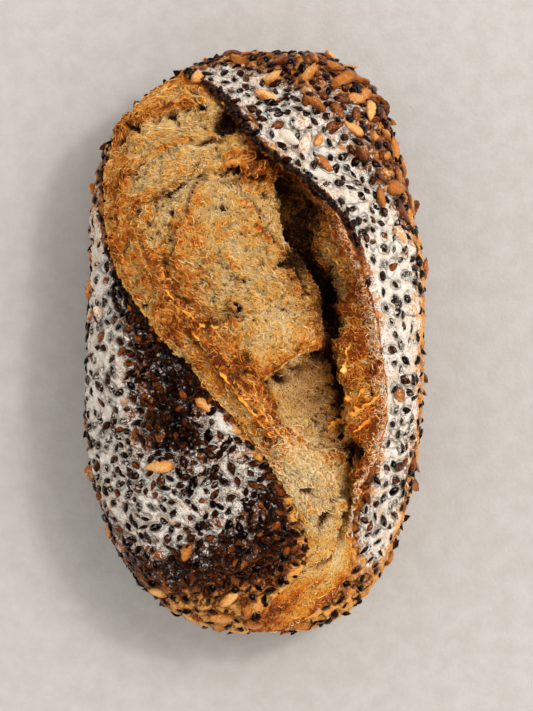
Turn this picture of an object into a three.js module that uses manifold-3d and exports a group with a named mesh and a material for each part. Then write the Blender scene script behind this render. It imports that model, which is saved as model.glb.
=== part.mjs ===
// A free-standing seeded multigrain loaf: an oval hearth loaf with one long slash that has burst open.
// The crust to the right of the slash is lifted into a lip that overhangs a deep crevice, the crumb swells
// out between the crevice and the left-hand crust, and below the middle it drops into a hollow.
// Sunflower kernels and linseeds stand proud of the crust. The loaf is one solid.
//
// Frame: millimetres, +Z up, +Y along the loaf towards the end where the slash runs out over the shoulder,
// +X across it towards the lifted lip. The origin is on the surface that the loaf stands on, under its middle.
import * as THREE from "three";
import { mergeVertices } from "three/addons/utils/BufferGeometryUtils.js";
import Module from "manifold-3d";

// Driving sizes of the bare loaf
const HALF_LENGTH = 118;
const HALF_WIDTH = 67;
const WAIST_HEIGHT = 33; // the loaf is widest this far above its base
const CROWN_RISE = 48; // from the waist to the top of the dome
const OUTLINE_POWER = 2.6; // superellipse power of the outline seen from above
const CROWN_POWER = 2.2; // of the dome seen from the side
const SECTION_POWER = 2.25; // of the dome in a section across the loaf
const FOOT_SHARE = 0.78; // width of the flat base as a share of the full width
const FLAT_SHARE = 0.76; // length of the flat base as a share of the full length
const MOST_ACROSS = 0.985; // the slash stays inside this share of the half width
const LIP_SPREAD = 11; // how far from its edge the lifted crust settles back onto the dome

// How far the middle of the outline wanders sideways, and how far it swells beyond its superellipse
const OUTLINE = [
  // along, middle, swell
  [-118, 3, 0],
  [-106, 1.5, 1],
  [-92, 0.2, 1.6],
  [-72, -0.6, 1.2],
  [-45, -1.2, 1.4],
  [0, -0.2, 0.8],
  [30, 0.5, 0.8],
  [50, -1.5, 1],
  [70, -2.5, 1.8],
  [84, -1, 2.4],
  [96, 2, 2],
  [108, 5, 0.8],
  [118, 8, 0],
];

// The slash, one row for each station along the loaf. The five lines are given by their place across the
// loaf: where the left crust stops, the brink of the crumb, the floor of the crevice, the shoulder of the
// baked wall, and the lip of the lifted crust. Then the depth of the crevice, the lift of the lip and the
// swell of the crumb above the dome. Past the last open station the lines only carry the grid.
const SLASH = [
  // along, edge, brink, crevice, wall, lip, depth, lift, swell
  [-118, -3, 1, 4, 7, 10, 0, 0, 0],
  [-106, 4, 12, 17, 22, 27, 0, 0, 0],
  [-94, 16, 23, 27, 31, 36, 0, 0, 0],
  [-84, 21, 28, 31, 34, 38, 1.5, 0, 0.3],
  [-70, 17, 30, 35, 37.5, 39, 12, 1.5, 1],
  [-58, 12, 30, 37.5, 39.5, 42, 16, 3, 1.5],
  [-45, 5.5, 17, 37.4, 39, 48.5, 18, 3, 2],
  [-32, -4, 5.5, 35.7, 37.5, 52.2, 19, 3, 2.5],
  [-20, -16, 1.5, 34.2, 37, 52, 20, 3, 3],
  [-10, -26, 12, 32.8, 36.5, 50.8, 21, 3.5, 3],
  [-3, -34, 23, 31, 36.3, 50, 25, 3.5, 3.5],
  [10, -44, 25, 28, 35.6, 47.4, 34, 4, 4],
  [25, -54.5, 17.5, 21, 33.2, 43.5, 29, 4.5, 4],
  [40, -59.3, 9, 12.5, 29, 37.5, 22, 5, 2.5],
  [54, -61, 5, 9, 25, 28.5, 18, 5.5, 0],
  [66, -61, 2, 7, 17.5, 15, 18, 5.5, -2],
  [78, -58.5, -4, 1, 6.5, -1, 18, 5, -3],
  [90, -52, -11.5, -8, -4, -9.5, 16, 4, -2.5],
  [100, -42.5, -21, -17.5, -14.5, -17.5, 8, 3, -1.5],
  [112, -25.5, -24, -23, -22, -20.5, 0, 1, 0],
  [118, 0, 3, 5, 7, 9, 0, 0, 0],
];
const COLUMN = { edge: 1, brink: 2, crevice: 3, wall: 4, lip: 5, depth: 6, lift: 7, swell: 8 };
const BRINK_DEPTH = 0.16; // depth of the brink as a share of the crevice's
const WALL_DEPTH = 0.38; // depth of the wall's shoulder as a share of the crevice's
const HOLLOW_REACH = 0.35; // where the steep fall from the brink ends, as a share of the way to the crevice
const HOLLOW_FALL = 0.72; // and how much of the fall is done by then
const SWELL_AT_EDGE = 0.7; // share of the swell on the third of the crumb next to the left crust

// Torn edges in the crumb. Each brow is a line of [across, along] points with the high ground on its left.
// It stands this high, eases off over the first length behind the brow, and falls steeply over the second
// length in front of it, into a shallow trough.
const TEARS = [
  { brow: [[-43, 48], [-38, 58], [-29, 64.5], [-8, 70], [16, 62]], high: 2.4, behind: 16, before: 2.2 },
  { brow: [[-20.5, 62], [-26, 50], [-30.5, 38], [-31, 30]], high: 1.7, behind: 12, before: 2.4 },
  { brow: [[-7, 8.5], [-20, 5.5], [-28, 12], [-34, 20], [-36, 30]], high: 3.8, behind: 7, before: 2 },
  { brow: [[-24, 5], [-16, -6], [-6, -18], [1, -29], [6, -38]], high: 2.6, behind: 5, before: 4 },
];
const TROUGH = 0.6; // depth of the trough in front of a tear, against the tear's height
const TROUGH_REACH = 3; // how much further the trough reaches than the steep fall
const TEAR_FADE = 9; // a tear runs out over this length past the ends of its brow

// Mesh: stations along the loaf, and steps across each stretch of a section
const STATIONS = 58;
const END_CROWDING = 0.55; // from 0, stations evenly spaced, to 1, crowded together at the ends
const BASE_STEPS = 2;
const FLANK_STEPS = 4;
const CRUST_STEPS = 7;
const SLASH_STEPS = [4, 3, 3, 3, 4, 5, 6]; // lip to wall, crevice, hollow, brink, then thirds of the crumb

// Seeds, length, width and thickness
const KERNEL_SIZE = [9.4, 5.4, 3.4];
const LINSEED_SIZE = [4.8, 2.7, 1.7];
const KERNEL_SUNK = 0.3; // share of the thickness that is below the crust
const LINSEED_SUNK = 0.2;
const SEED_SEGMENTS = [5, 4]; // round the seed and from tip to tip, 30 faces
const SEED_TAPER = 0.5; // how much narrower the pointed end is
const KERNELS_BY_RULE = 50;
const LINSEEDS_BY_RULE = 40;
const KERNEL_SPACING = 13;
const LINSEED_SPACING = 12;
const LOWEST_SEED = 9; // no seed by rule is nearer than this to the surface that the loaf stands on
const RANDOM_SEED = 20417;

// The kernels that catch the eye on the crust: along, across, turn in degrees
const KERNELS_BY_HAND = [
  [-23, -21, 120],
  [-10, -32, 80],
  [-48, -40, 85],
  [-83, -29, 95],
  [-99, -11, 125],
  [-97, -33, 130],
  [-69, 13, 100],
  [-80, -5, 165],
  [-111, 1, 10],
  [-116, 8, 0],
  [88, 36, 60],
  [106, 24, 140],
  [92, 15, 110],
  [97, 4, 150],
  [116, 17, 20],
  [80, 28, 40],
  [70, 45, 95],
  [43, 57, 80],
  [2, 60, 75],
  [-9, 58, 110],
  [-20, 57, 60],
  [-40, 60, 95],
  [-62, 52, 70],
];

// Small helpers

// Cubic through the rows of a table, with each slope taken from the rows on either side.
function alongTable(rows, column, along) {
  const last = rows.length - 1;
  let i = 0;
  while (i < last - 1 && along > rows[i + 1][0]) i++;
  const slope = (k) => {
    const low = Math.max(k - 1, 0);
    const high = Math.min(k + 1, last);
    return (rows[high][column] - rows[low][column]) / (rows[high][0] - rows[low][0]);
  };
  const span = rows[i + 1][0] - rows[i][0];
  const t = THREE.MathUtils.clamp((along - rows[i][0]) / span, 0, 1);
  const t2 = t * t;
  const t3 = t2 * t;
  return (
    (2 * t3 - 3 * t2 + 1) * rows[i][column] +
    (t3 - 2 * t2 + t) * span * slope(i) +
    (3 * t2 - 2 * t3) * rows[i + 1][column] +
    (t3 - t2) * span * slope(i + 1)
  );
}

// The rest of a superellipse: 1 in the middle, 0 at the rim.
function superellipse(share, power) {
  const inside = 1 - Math.pow(Math.min(Math.abs(share), 1), power);
  return Math.pow(Math.max(inside, 0), 1 / power);
}

// Repeatable random numbers from 0 to 1.
function randomNumbers(seed) {
  const modulus = 2147483647;
  const multiplier = 16807;
  let state = seed;
  return () => {
    state = (state * multiplier) % modulus;
    return state / modulus;
  };
}

// Slow unevenness of the baked crust, about a millimetre.
function lumps(x, y) {
  return (
    0.7 * Math.sin(0.061 * x + 0.043 * y + 0.8) * Math.cos(0.052 * y - 0.031 * x) +
    0.5 * Math.sin(0.13 * x - 0.09 * y + 2.1)
  );
}

// Slow knobs of the crumb.
function knobs(x, y) {
  return 0.9 * Math.sin(0.21 * x + 0.12 * y) * Math.sin(0.17 * y - 0.1 * x + 1.2);
}

// The torn edges: the nearest leg of each brow gives the distance, whose sign tells the high ground.
function tears(x, y) {
  let height = 0;
  for (const { brow, high, behind, before } of TEARS) {
    let nearest = Infinity;
    let distance = 0;
    let past = 0;
    for (let i = 1; i < brow.length; i++) {
      const [fromX, fromY] = brow[i - 1];
      const runX = brow[i][0] - fromX;
      const runY = brow[i][1] - fromY;
      const length = Math.hypot(runX, runY);
      const t = ((x - fromX) * runX + (y - fromY) * runY) / (length * length);
      const held = THREE.MathUtils.clamp(t, 0, 1);
      const away = Math.hypot(x - fromX - held * runX, y - fromY - held * runY);
      if (away < nearest) {
        nearest = away;
        distance = Math.sign(runX * (y - fromY) - runY * (x - fromX)) * away;
        const beyond = (i === 1 && t < 0) || (i === brow.length - 1 && t > 1);
        past = beyond ? Math.abs(t - held) * length : 0;
      }
    }
    const fade = Math.exp(-Math.pow(past / TEAR_FADE, 2));
    const fall = (1 + TROUGH) * Math.exp(distance / before) - TROUGH * Math.exp(distance / (TROUGH_REACH * before));
    height += high * fade * (distance > 0 ? Math.exp(-distance / behind) : fall);
  }
  return height;
}

// The loaf's form

function halfWidthAt(along) {
  const swell = alongTable(OUTLINE, 2, along);
  return (HALF_WIDTH + swell) * superellipse(along / HALF_LENGTH, OUTLINE_POWER);
}

// Height of the unbroken dome over a point.
function domeHeight(x, along) {
  const reach = along / HALF_LENGTH;
  const share = (x - alongTable(OUTLINE, 1, along)) / Math.max(halfWidthAt(along), 1e-6);
  const rise = CROWN_RISE * superellipse(reach, CROWN_POWER) * superellipse(share, SECTION_POWER);
  return WAIST_HEIGHT + rise + lumps(x, along) * superellipse(reach, 4);
}

// One section across the loaf, as named stretches of [x, z] points that follow each other round it.
function section(along, steps) {
  const reach = along / HALF_LENGTH;
  const middle = alongTable(OUTLINE, 1, along);
  const halfWidth = halfWidthAt(along);
  const dome = (x) => domeHeight(x, along);
  const at = (column) => {
    const x = alongTable(SLASH, COLUMN[column], along);
    return middle + THREE.MathUtils.clamp(x - middle, -MOST_ACROSS * halfWidth, MOST_ACROSS * halfWidth);
  };
  const depth = Math.max(alongTable(SLASH, COLUMN.depth, along), 0);
  const lift = Math.max(alongTable(SLASH, COLUMN.lift, along), 0);
  const swell = alongTable(SLASH, COLUMN.swell, along);
  const edge = at("edge");
  const brink = at("brink");
  const crevice = at("crevice");
  const wall = at("wall");
  const lip = at("lip");

  // The lower flanks curve in to the flat base, which turns up towards the ends.
  const past = Math.max(Math.abs(reach) - FLAT_SHARE, 0) / (1 - FLAT_SHARE);
  const base = WAIST_HEIGHT * (1 - superellipse(past, 2));
  const flank = (side, down) => {
    const turn = (down * Math.PI) / 2;
    const share = FOOT_SHARE + (1 - FOOT_SHARE) * Math.cos(turn);
    return [middle + side * halfWidth * share, WAIST_HEIGHT - (WAIST_HEIGHT - base) * Math.sin(turn)];
  };
  const rightFlank = Array.from({ length: steps.flank }, (_, i) => flank(1, 1 - i / steps.flank));
  const leftFlank = Array.from({ length: steps.flank }, (_, i) => flank(-1, i / steps.flank));
  const foot = FOOT_SHARE * halfWidth;
  const under = Array.from({ length: steps.base }, (_, i) => [
    middle + foot * (-1 + (2 * i) / steps.base),
    base,
  ]);

  // The crust goes from the waist up the dome by equal turns of its ellipse.
  const turnAt = (x) => Math.acos(THREE.MathUtils.clamp((x - middle) / Math.max(halfWidth, 1e-6), -1, 1));
  const crust = (from, to, extra) =>
    Array.from({ length: steps.crust }, (_, i) => {
      const turn = turnAt(from) + ((turnAt(to) - turnAt(from)) * i) / steps.crust;
      const x = middle + halfWidth * Math.cos(turn);
      return [x, dome(x) + extra(x)];
    });
  const curl = (x) => lift * Math.exp(-Math.pow((x - lip) / LIP_SPREAD, 2));
  const rightCrust = crust(middle + halfWidth, lip, curl);
  const leftCrust = crust(edge, middle - halfWidth, () => 0);

  // The open slash, from the lip down into the crevice and up over the crumb.
  const third = (brink - edge) / 3;
  const fall = (share) => depth * (BRINK_DEPTH + (1 - BRINK_DEPTH) * share);
  const hollow = brink + HOLLOW_REACH * (crevice - brink);
  const knots = [
    [lip, dome(lip) + lift],
    [wall, dome(wall) - depth * WALL_DEPTH],
    [crevice, dome(crevice) - depth],
    [hollow, dome(hollow) - fall(HOLLOW_FALL)],
    [brink, dome(brink) - fall(0)],
    [brink - third, dome(brink - third) + swell],
    [edge + third, dome(edge + third) + swell * SWELL_AT_EDGE],
    [edge, dome(edge)],
  ].map(([x, z]) => new THREE.Vector3(x, 0, z));
  const pull = new THREE.CatmullRomCurve3(knots, false, "centripetal");
  const spans = knots.length - 1;
  const open = THREE.MathUtils.smoothstep(depth, 2, 12);
  const slash = steps.slash.flatMap((count, span) =>
    Array.from({ length: count }, (_, i) => {
      const p = pull.getPoint((span + i / count) / spans);
      const fromEdge = THREE.MathUtils.smoothstep(p.x, edge, edge + 7);
      const fromBrink = 1 - THREE.MathUtils.smoothstep(p.x, brink - 5, brink);
      const torn = tears(p.x, along) + knobs(p.x, along);
      return [p.x, p.z + torn * fromEdge * fromBrink * open];
    }),
  );
  return { under, rightFlank, rightCrust, slash, leftCrust, leftFlank };
}

// The stations from one end to the other.
function stationAt(i, count) {
  const crowded = -Math.cos((Math.PI * i) / count);
  const even = (2 * i) / count - 1;
  return HALF_LENGTH * (END_CROWDING * crowded + (1 - END_CROWDING) * even);
}

// The bare loaf: sections joined station by station, with a point at each end.
function loafGeometry() {
  const steps = { base: BASE_STEPS, flank: FLANK_STEPS, crust: CRUST_STEPS, slash: SLASH_STEPS };
  const rings = [];
  for (let i = 1; i < STATIONS; i++) {
    const along = stationAt(i, STATIONS);
    const ring = Object.values(section(along, steps)).flat();
    rings.push(ring.map(([x, z]) => [x, along, z]));
  }
  const size = rings[0].length;
  const positions = rings.flat(2);
  const heel = rings.length * size;
  const tip = heel + 1;
  positions.push(alongTable(OUTLINE, 1, -HALF_LENGTH), -HALF_LENGTH, WAIST_HEIGHT);
  positions.push(alongTable(OUTLINE, 1, HALF_LENGTH), HALF_LENGTH, WAIST_HEIGHT);
  const index = [];
  for (let i = 0; i < size; i++) {
    const next = (i + 1) % size;
    for (let ring = 0; ring < rings.length - 1; ring++) {
      const here = ring * size;
      const there = here + size;
      index.push(here + i, there + i, here + next, here + next, there + i, there + next);
    }
    index.push(heel, i, next);
    const last = (rings.length - 1) * size;
    index.push(tip, last + next, last + i);
  }
  const geometry = new THREE.BufferGeometry();
  geometry.setAttribute("position", new THREE.Float32BufferAttribute(positions, 3));
  geometry.setIndex(index);
  return geometry;
}

// Places on the crust

// The crust in a section, from the foot of its flank up to the slash: side is 1 right of the slash and -1
// left of it.
const FINE_STEPS = { base: 1, flank: 8, crust: 24, slash: [1, 1, 1, 1, 1, 1, 1] };

function crustLine(along, side) {
  const s = section(along, FINE_STEPS);
  const line = side > 0 ? [...s.rightFlank, ...s.rightCrust, s.slash[0]] : [...s.leftCrust, ...s.leftFlank].reverse();
  return line.map(([x, z]) => new THREE.Vector3(x, along, z));
}

// The point a share of the way along a line.
function onLine(line, share) {
  const reached = [0];
  for (let i = 1; i < line.length; i++) reached.push(reached[i - 1] + line[i].distanceTo(line[i - 1]));
  const want = share * reached[reached.length - 1];
  let i = 1;
  while (i < line.length - 1 && reached[i] < want) i++;
  const span = Math.max(reached[i] - reached[i - 1], 1e-9);
  return line[i - 1].clone().lerp(line[i], (want - reached[i - 1]) / span);
}

// A point of the crust with the way out of it and its run along the loaf.
function crustFrame(along, side, share) {
  const step = 1.5;
  const nudge = 0.02;
  const line = crustLine(along, side);
  const point = onLine(line, share);
  const run = onLine(crustLine(along + step, side), share).sub(onLine(crustLine(along - step, side), share));
  const up = onLine(line, Math.min(share + nudge, 1)).sub(onLine(line, Math.max(share - nudge, 0)));
  const out = up.cross(run).multiplyScalar(side).normalize();
  return { point, out, run: run.normalize() };
}

// The share of the crust line whose point is nearest to a given place across the loaf, on the upper crust.
function shareAcross(along, across, side) {
  const tries = 60;
  const highest = 0.97;
  const line = crustLine(along, side);
  let best = highest;
  let least = Infinity;
  for (let i = tries / 3; i <= tries * highest; i++) {
    const off = Math.abs(onLine(line, i / tries).x - across);
    if (off < least) {
      least = off;
      best = i / tries;
    }
  }
  return best;
}

// Places by darts that keep their distance from those already there. The right-hand crust gets more of
// them, because it is wider.
function scatter(count, spacing, taken, random) {
  const tries = 4000;
  const rightShare = 0.55;
  const lowest = 0.12;
  const highest = 0.96;
  const farthest = 0.985 * HALF_LENGTH;
  const narrowest = 18;
  const found = [];
  for (let i = 0; i < tries && found.length < count; i++) {
    const along = farthest * (2 * random() - 1);
    const side = random() < rightShare ? 1 : -1;
    const share = lowest + (highest - lowest) * random();
    const turn = Math.PI * random();
    const line = crustLine(along, side);
    if (line[0].distanceTo(line[line.length - 1]) < narrowest) continue;
    const frame = crustFrame(along, side, share);
    if (frame.point.z < LOWEST_SEED) continue;
    if ([...taken, ...found].some((other) => other.frame.point.distanceTo(frame.point) < spacing)) continue;
    found.push({ frame, turn });
  }
  return found;
}

// Seeds

// A ball drawn out to a point at one end, then flattened.
function seedGeometry([length, width, thickness]) {
  const ball = new THREE.SphereGeometry(0.5, SEED_SEGMENTS[0], SEED_SEGMENTS[1]);
  ball.rotateZ(Math.PI / 2);
  const position = ball.attributes.position;
  for (let i = 0; i < position.count; i++) {
    const taper = 1 - SEED_TAPER * Math.max(position.getX(i), 0);
    position.setXYZ(
      i,
      position.getX(i) * length,
      position.getY(i) * width * taper,
      position.getZ(i) * thickness,
    );
  }
  return ball;
}

function seedPlacement({ point, out, run }, turn, size, sunk) {
  const lengthwise = run.clone().applyAxisAngle(out, turn);
  const sideways = out.clone().cross(lengthwise).normalize();
  const place = new THREE.Matrix4().makeBasis(lengthwise, sideways, out);
  return place.setPosition(point.clone().addScaledVector(out, size[2] * (0.5 - sunk)));
}

// Solids

const wasm = await Module();
wasm.setup();

function solidOf(geometry, place) {
  const bare = geometry.clone();
  bare.deleteAttribute("normal");
  bare.deleteAttribute("uv");
  if (place) bare.applyMatrix4(place);
  const merged = mergeVertices(bare, 1e-4);
  return new wasm.Manifold(
    new wasm.Mesh({
      numProp: 3,
      vertProperties: merged.attributes.position.array,
      triVerts: new Uint32Array(merged.index.array),
    }),
  );
}

function geometryOf(solid) {
  const mesh = solid.getMesh();
  const geometry = new THREE.BufferGeometry();
  geometry.setAttribute("position", new THREE.BufferAttribute(new Float32Array(mesh.vertProperties), 3));
  geometry.setIndex(new THREE.BufferAttribute(new Uint32Array(mesh.triVerts), 1));
  geometry.computeVertexNormals();
  return geometry;
}

function seededLoaf() {
  const random = randomNumbers(RANDOM_SEED);
  const byHand = KERNELS_BY_HAND.map(([along, across, degrees]) => {
    const side = across > alongTable(SLASH, COLUMN.lip, along) ? 1 : -1;
    const frame = crustFrame(along, side, shareAcross(along, across, side));
    return { frame, turn: THREE.MathUtils.degToRad(degrees - 90) };
  });
  const kernels = [...byHand, ...scatter(KERNELS_BY_RULE, KERNEL_SPACING, byHand, random)];
  const linseeds = scatter(LINSEEDS_BY_RULE, LINSEED_SPACING, kernels, random);
  const kernel = seedGeometry(KERNEL_SIZE);
  const linseed = seedGeometry(LINSEED_SIZE);
  let loaf = solidOf(loafGeometry());
  for (const { frame, turn } of kernels) {
    loaf = loaf.add(solidOf(kernel, seedPlacement(frame, turn, KERNEL_SIZE, KERNEL_SUNK)));
  }
  for (const { frame, turn } of linseeds) {
    loaf = loaf.add(solidOf(linseed, seedPlacement(frame, turn, LINSEED_SIZE, LINSEED_SUNK)));
  }
  return loaf;
}

const crust = new THREE.MeshStandardMaterial({ color: 0x9a6636, roughness: 0.75, metalness: 0 });
const loaf = new THREE.Mesh(geometryOf(seededLoaf()), crust);
loaf.name = "loaf";

const group = new THREE.Group();
group.add(loaf);
export default group;
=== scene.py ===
"""A seeded multigrain loaf, burst open along one long slash and seen from straight above.

The loaf's skin is five closed pieces that meet edge to edge: the crust to the right of the slash, the
baked wall under its lip, the torn crumb, the crust to the left of the slash, and the underside. Linseeds,
sunflower kernels and crumb strands lie on them. Every piece is worked out from the same sizes as the solid.

Lengths are millimetres until a mesh is made, and places are [across, along, up]: +X across the loaf towards
the lifted lip, +Y along it, +Z up from the surface that it stands on.
"""

from __future__ import annotations

import logging
import math
from dataclasses import dataclass, replace
from enum import Enum

import bpy
import numpy as np
from bpy.types import Material, NodeSocket, Object, Scene
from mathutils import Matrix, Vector
from mathutils.kdtree import KDTree

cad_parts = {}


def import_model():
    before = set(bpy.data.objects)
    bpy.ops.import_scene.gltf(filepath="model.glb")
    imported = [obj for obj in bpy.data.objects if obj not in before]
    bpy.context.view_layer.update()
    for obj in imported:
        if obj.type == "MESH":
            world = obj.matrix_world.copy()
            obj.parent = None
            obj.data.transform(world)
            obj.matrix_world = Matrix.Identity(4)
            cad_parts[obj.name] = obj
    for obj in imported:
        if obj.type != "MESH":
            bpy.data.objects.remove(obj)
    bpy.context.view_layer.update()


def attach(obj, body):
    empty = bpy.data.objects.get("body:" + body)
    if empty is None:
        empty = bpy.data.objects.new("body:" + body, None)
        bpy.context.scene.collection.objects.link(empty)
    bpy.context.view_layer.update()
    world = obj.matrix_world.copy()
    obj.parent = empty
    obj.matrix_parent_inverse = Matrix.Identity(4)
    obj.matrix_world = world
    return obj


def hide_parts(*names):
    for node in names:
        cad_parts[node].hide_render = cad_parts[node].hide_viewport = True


Array = np.ndarray
LOG = logging.getLogger("loaf")
MM = 0.001
BODY = "root"
NODE = "loaf"
LINE_SEED = 7
RELIEF_SEED = 20417

# How far the middle of the outline wanders sideways, and how far it swells beyond its superellipse.
# Rows: along, middle, swell.
OUTLINE = np.array(
    [
        (-118, 3, 0),
        (-106, 1.5, 1),
        (-92, 0.2, 1.6),
        (-72, -0.6, 1.2),
        (-45, -1.2, 1.4),
        (0, -0.2, 0.8),
        (30, 0.5, 0.8),
        (50, -1.5, 1),
        (70, -2.5, 1.8),
        (84, -1, 2.4),
        (96, 2, 2),
        (108, 5, 0.8),
        (118, 8, 0),
    ],
    float,
)

# The slash, station by station: the five lines across it, the depth of the crevice, the lift of the lip and
# the swell of the crumb. Rows: along, edge, brink, crevice, wall, lip, depth, lift, swell.
SLASH = np.array(
    [
        (-118, -3, 1, 4, 7, 10, 0, 0, 0),
        (-106, 4, 12, 17, 22, 27, 0, 0, 0),
        (-94, 16, 23, 27, 31, 36, 0, 0, 0),
        (-84, 21, 28, 31, 34, 38, 1.5, 0, 0.3),
        (-70, 17, 30, 35, 37.5, 39, 12, 1.5, 1),
        (-58, 12, 30, 37.5, 39.5, 42, 16, 3, 1.5),
        (-45, 3.5, 17, 37.4, 39, 48.5, 18, 3, 2),
        (-32, -6.5, 5.5, 35.7, 37.5, 52.2, 19, 3, 2.5),
        (-20, -19, 1.5, 34.2, 37, 52, 20, 3, 3),
        (-10, -26, 12, 32.8, 36.5, 50.8, 21, 3.5, 3),
        (-3, -34, 21.5, 30, 36.3, 50, 25, 3.5, 3.5),
        (10, -44, 22, 27, 35.6, 47.4, 34, 4, 4),
        (25, -54.5, 17.5, 21, 33.2, 43.5, 29, 4.5, 4),
        (40, -59.3, 9, 12.5, 29, 37.5, 22, 5, 2.5),
        (54, -61, 5, 9, 25, 28.5, 18, 5.5, 0),
        (66, -61, 2, 7, 17.5, 15, 18, 5.5, -2),
        (78, -58.5, -4, 1, 6.5, -1, 18, 5, -3),
        (90, -52, -11.5, -8, -4, -9.5, 16, 4, -2.5),
        (100, -42.5, -21, -17.5, -14.5, -17.5, 8, 3, -1.5),
        (107, -34.5, -29, -28, -27, -27, 3, 2.2, -0.8),
        (112, -25.5, -25.2, -25, -24.8, -24.5, 0, 1, 0),
        (118, 0, 3, 5, 7, 9, 0, 0, 0),
    ],
    float,
)


class Column(Enum):
    """What each column of the slash's table holds."""

    EDGE = 1
    BRINK = 2
    CREVICE = 3
    WALL = 4
    LIP = 5
    DEPTH = 6
    LIFT = 7
    SWELL = 8


class Side(Enum):
    """Which crust a place is on: right of the slash, under the lifted lip's side, or left of it."""

    RIGHT = 1
    LEFT = -1


# Array helpers


def smoothstep(value: Array, low: Array | float, high: Array | float) -> Array:
    """Rises smoothly from 0 at low to 1 at high: 3t^2 - 2t^3 of the share t in between."""
    t = np.clip((value - low) / np.maximum(high - low, 1e-9), 0, 1)
    return t * t * (3 - 2 * t)


def unit(vectors: Array) -> Array:
    """The vectors, each divided by its length."""
    return vectors / np.maximum(np.linalg.norm(vectors, axis=-1, keepdims=True), 1e-9)


def superellipse(share: Array, power: float) -> Array:
    """1 in the middle and 0 at the rim: the power-th root of 1 - |share|^power."""
    return np.maximum(1 - np.minimum(np.abs(share), 1) ** power, 0) ** (1 / power)


def along_table(rows: Array, column: int, along: Array) -> Array:
    """Hermite cubic through a column of a table, each slope taken from the rows on either side.

    Args:
        rows: The table, whose first column rises.
        column: The column to read.
        along: Where to read it.

    Returns:
        The column's value at each place, held past the ends.
    """
    knots, values = rows[:, 0], rows[:, column]
    low = np.maximum(np.arange(len(knots)) - 1, 0)
    high = np.minimum(np.arange(len(knots)) + 1, len(knots) - 1)
    slopes = (values[high] - values[low]) / (knots[high] - knots[low])
    i = np.clip(np.searchsorted(knots, along) - 1, 0, len(knots) - 2)
    span = knots[i + 1] - knots[i]
    t = np.clip((along - knots[i]) / span, 0, 1)
    t2, t3 = t * t, t * t * t
    return (
        (2 * t3 - 3 * t2 + 1) * values[i]
        + (t3 - 2 * t2 + t) * span * slopes[i]
        + (3 * t2 - 2 * t3) * values[i + 1]
        + (t3 - t2) * span * slopes[i + 1]
    )


def resample(rows: Array, count: int) -> Array:
    """Points spaced evenly along each row's line.

    Args:
        rows: Lines as (line, point, value), the first three values being the place.
        count: Points wanted on each line, both ends included.

    Returns:
        The lines with that many points, by linear steps between the old ones.
    """
    steps = np.linalg.norm(np.diff(rows[..., :3], axis=1), axis=-1)
    reached = np.concatenate([np.zeros((len(rows), 1)), np.cumsum(steps, axis=1)], axis=1)
    share = np.linspace(0, 1, count)
    made = np.empty((len(rows), count, rows.shape[2]))
    for row, (line, length) in enumerate(zip(rows, reached)):
        for value in range(rows.shape[2]):
            made[row, :, value] = np.interp(share * length[-1], length, line[:, value])
    return made


def eased(share: Array, first: float, last: float) -> Array:
    """1 along the share but 0 at its ends, reached smoothly over its first and last parts."""
    return smoothstep(share, 0, first) * smoothstep(1 - share, 0, last)


def normals_of(grid: Array) -> Array:
    """Outward normals of a grid of points: the cross product of its two gradients, stations first."""
    along = np.gradient(grid, axis=0)
    across = np.gradient(grid, axis=1)
    return unit(np.cross(along, across))


def finder(points: Array) -> KDTree:
    """A tree that finds the nearest of the points, by number."""
    tree = KDTree(max(len(points), 1))
    for number, point in enumerate(points):
        tree.insert(point, number)
    tree.balance()
    return tree


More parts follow.
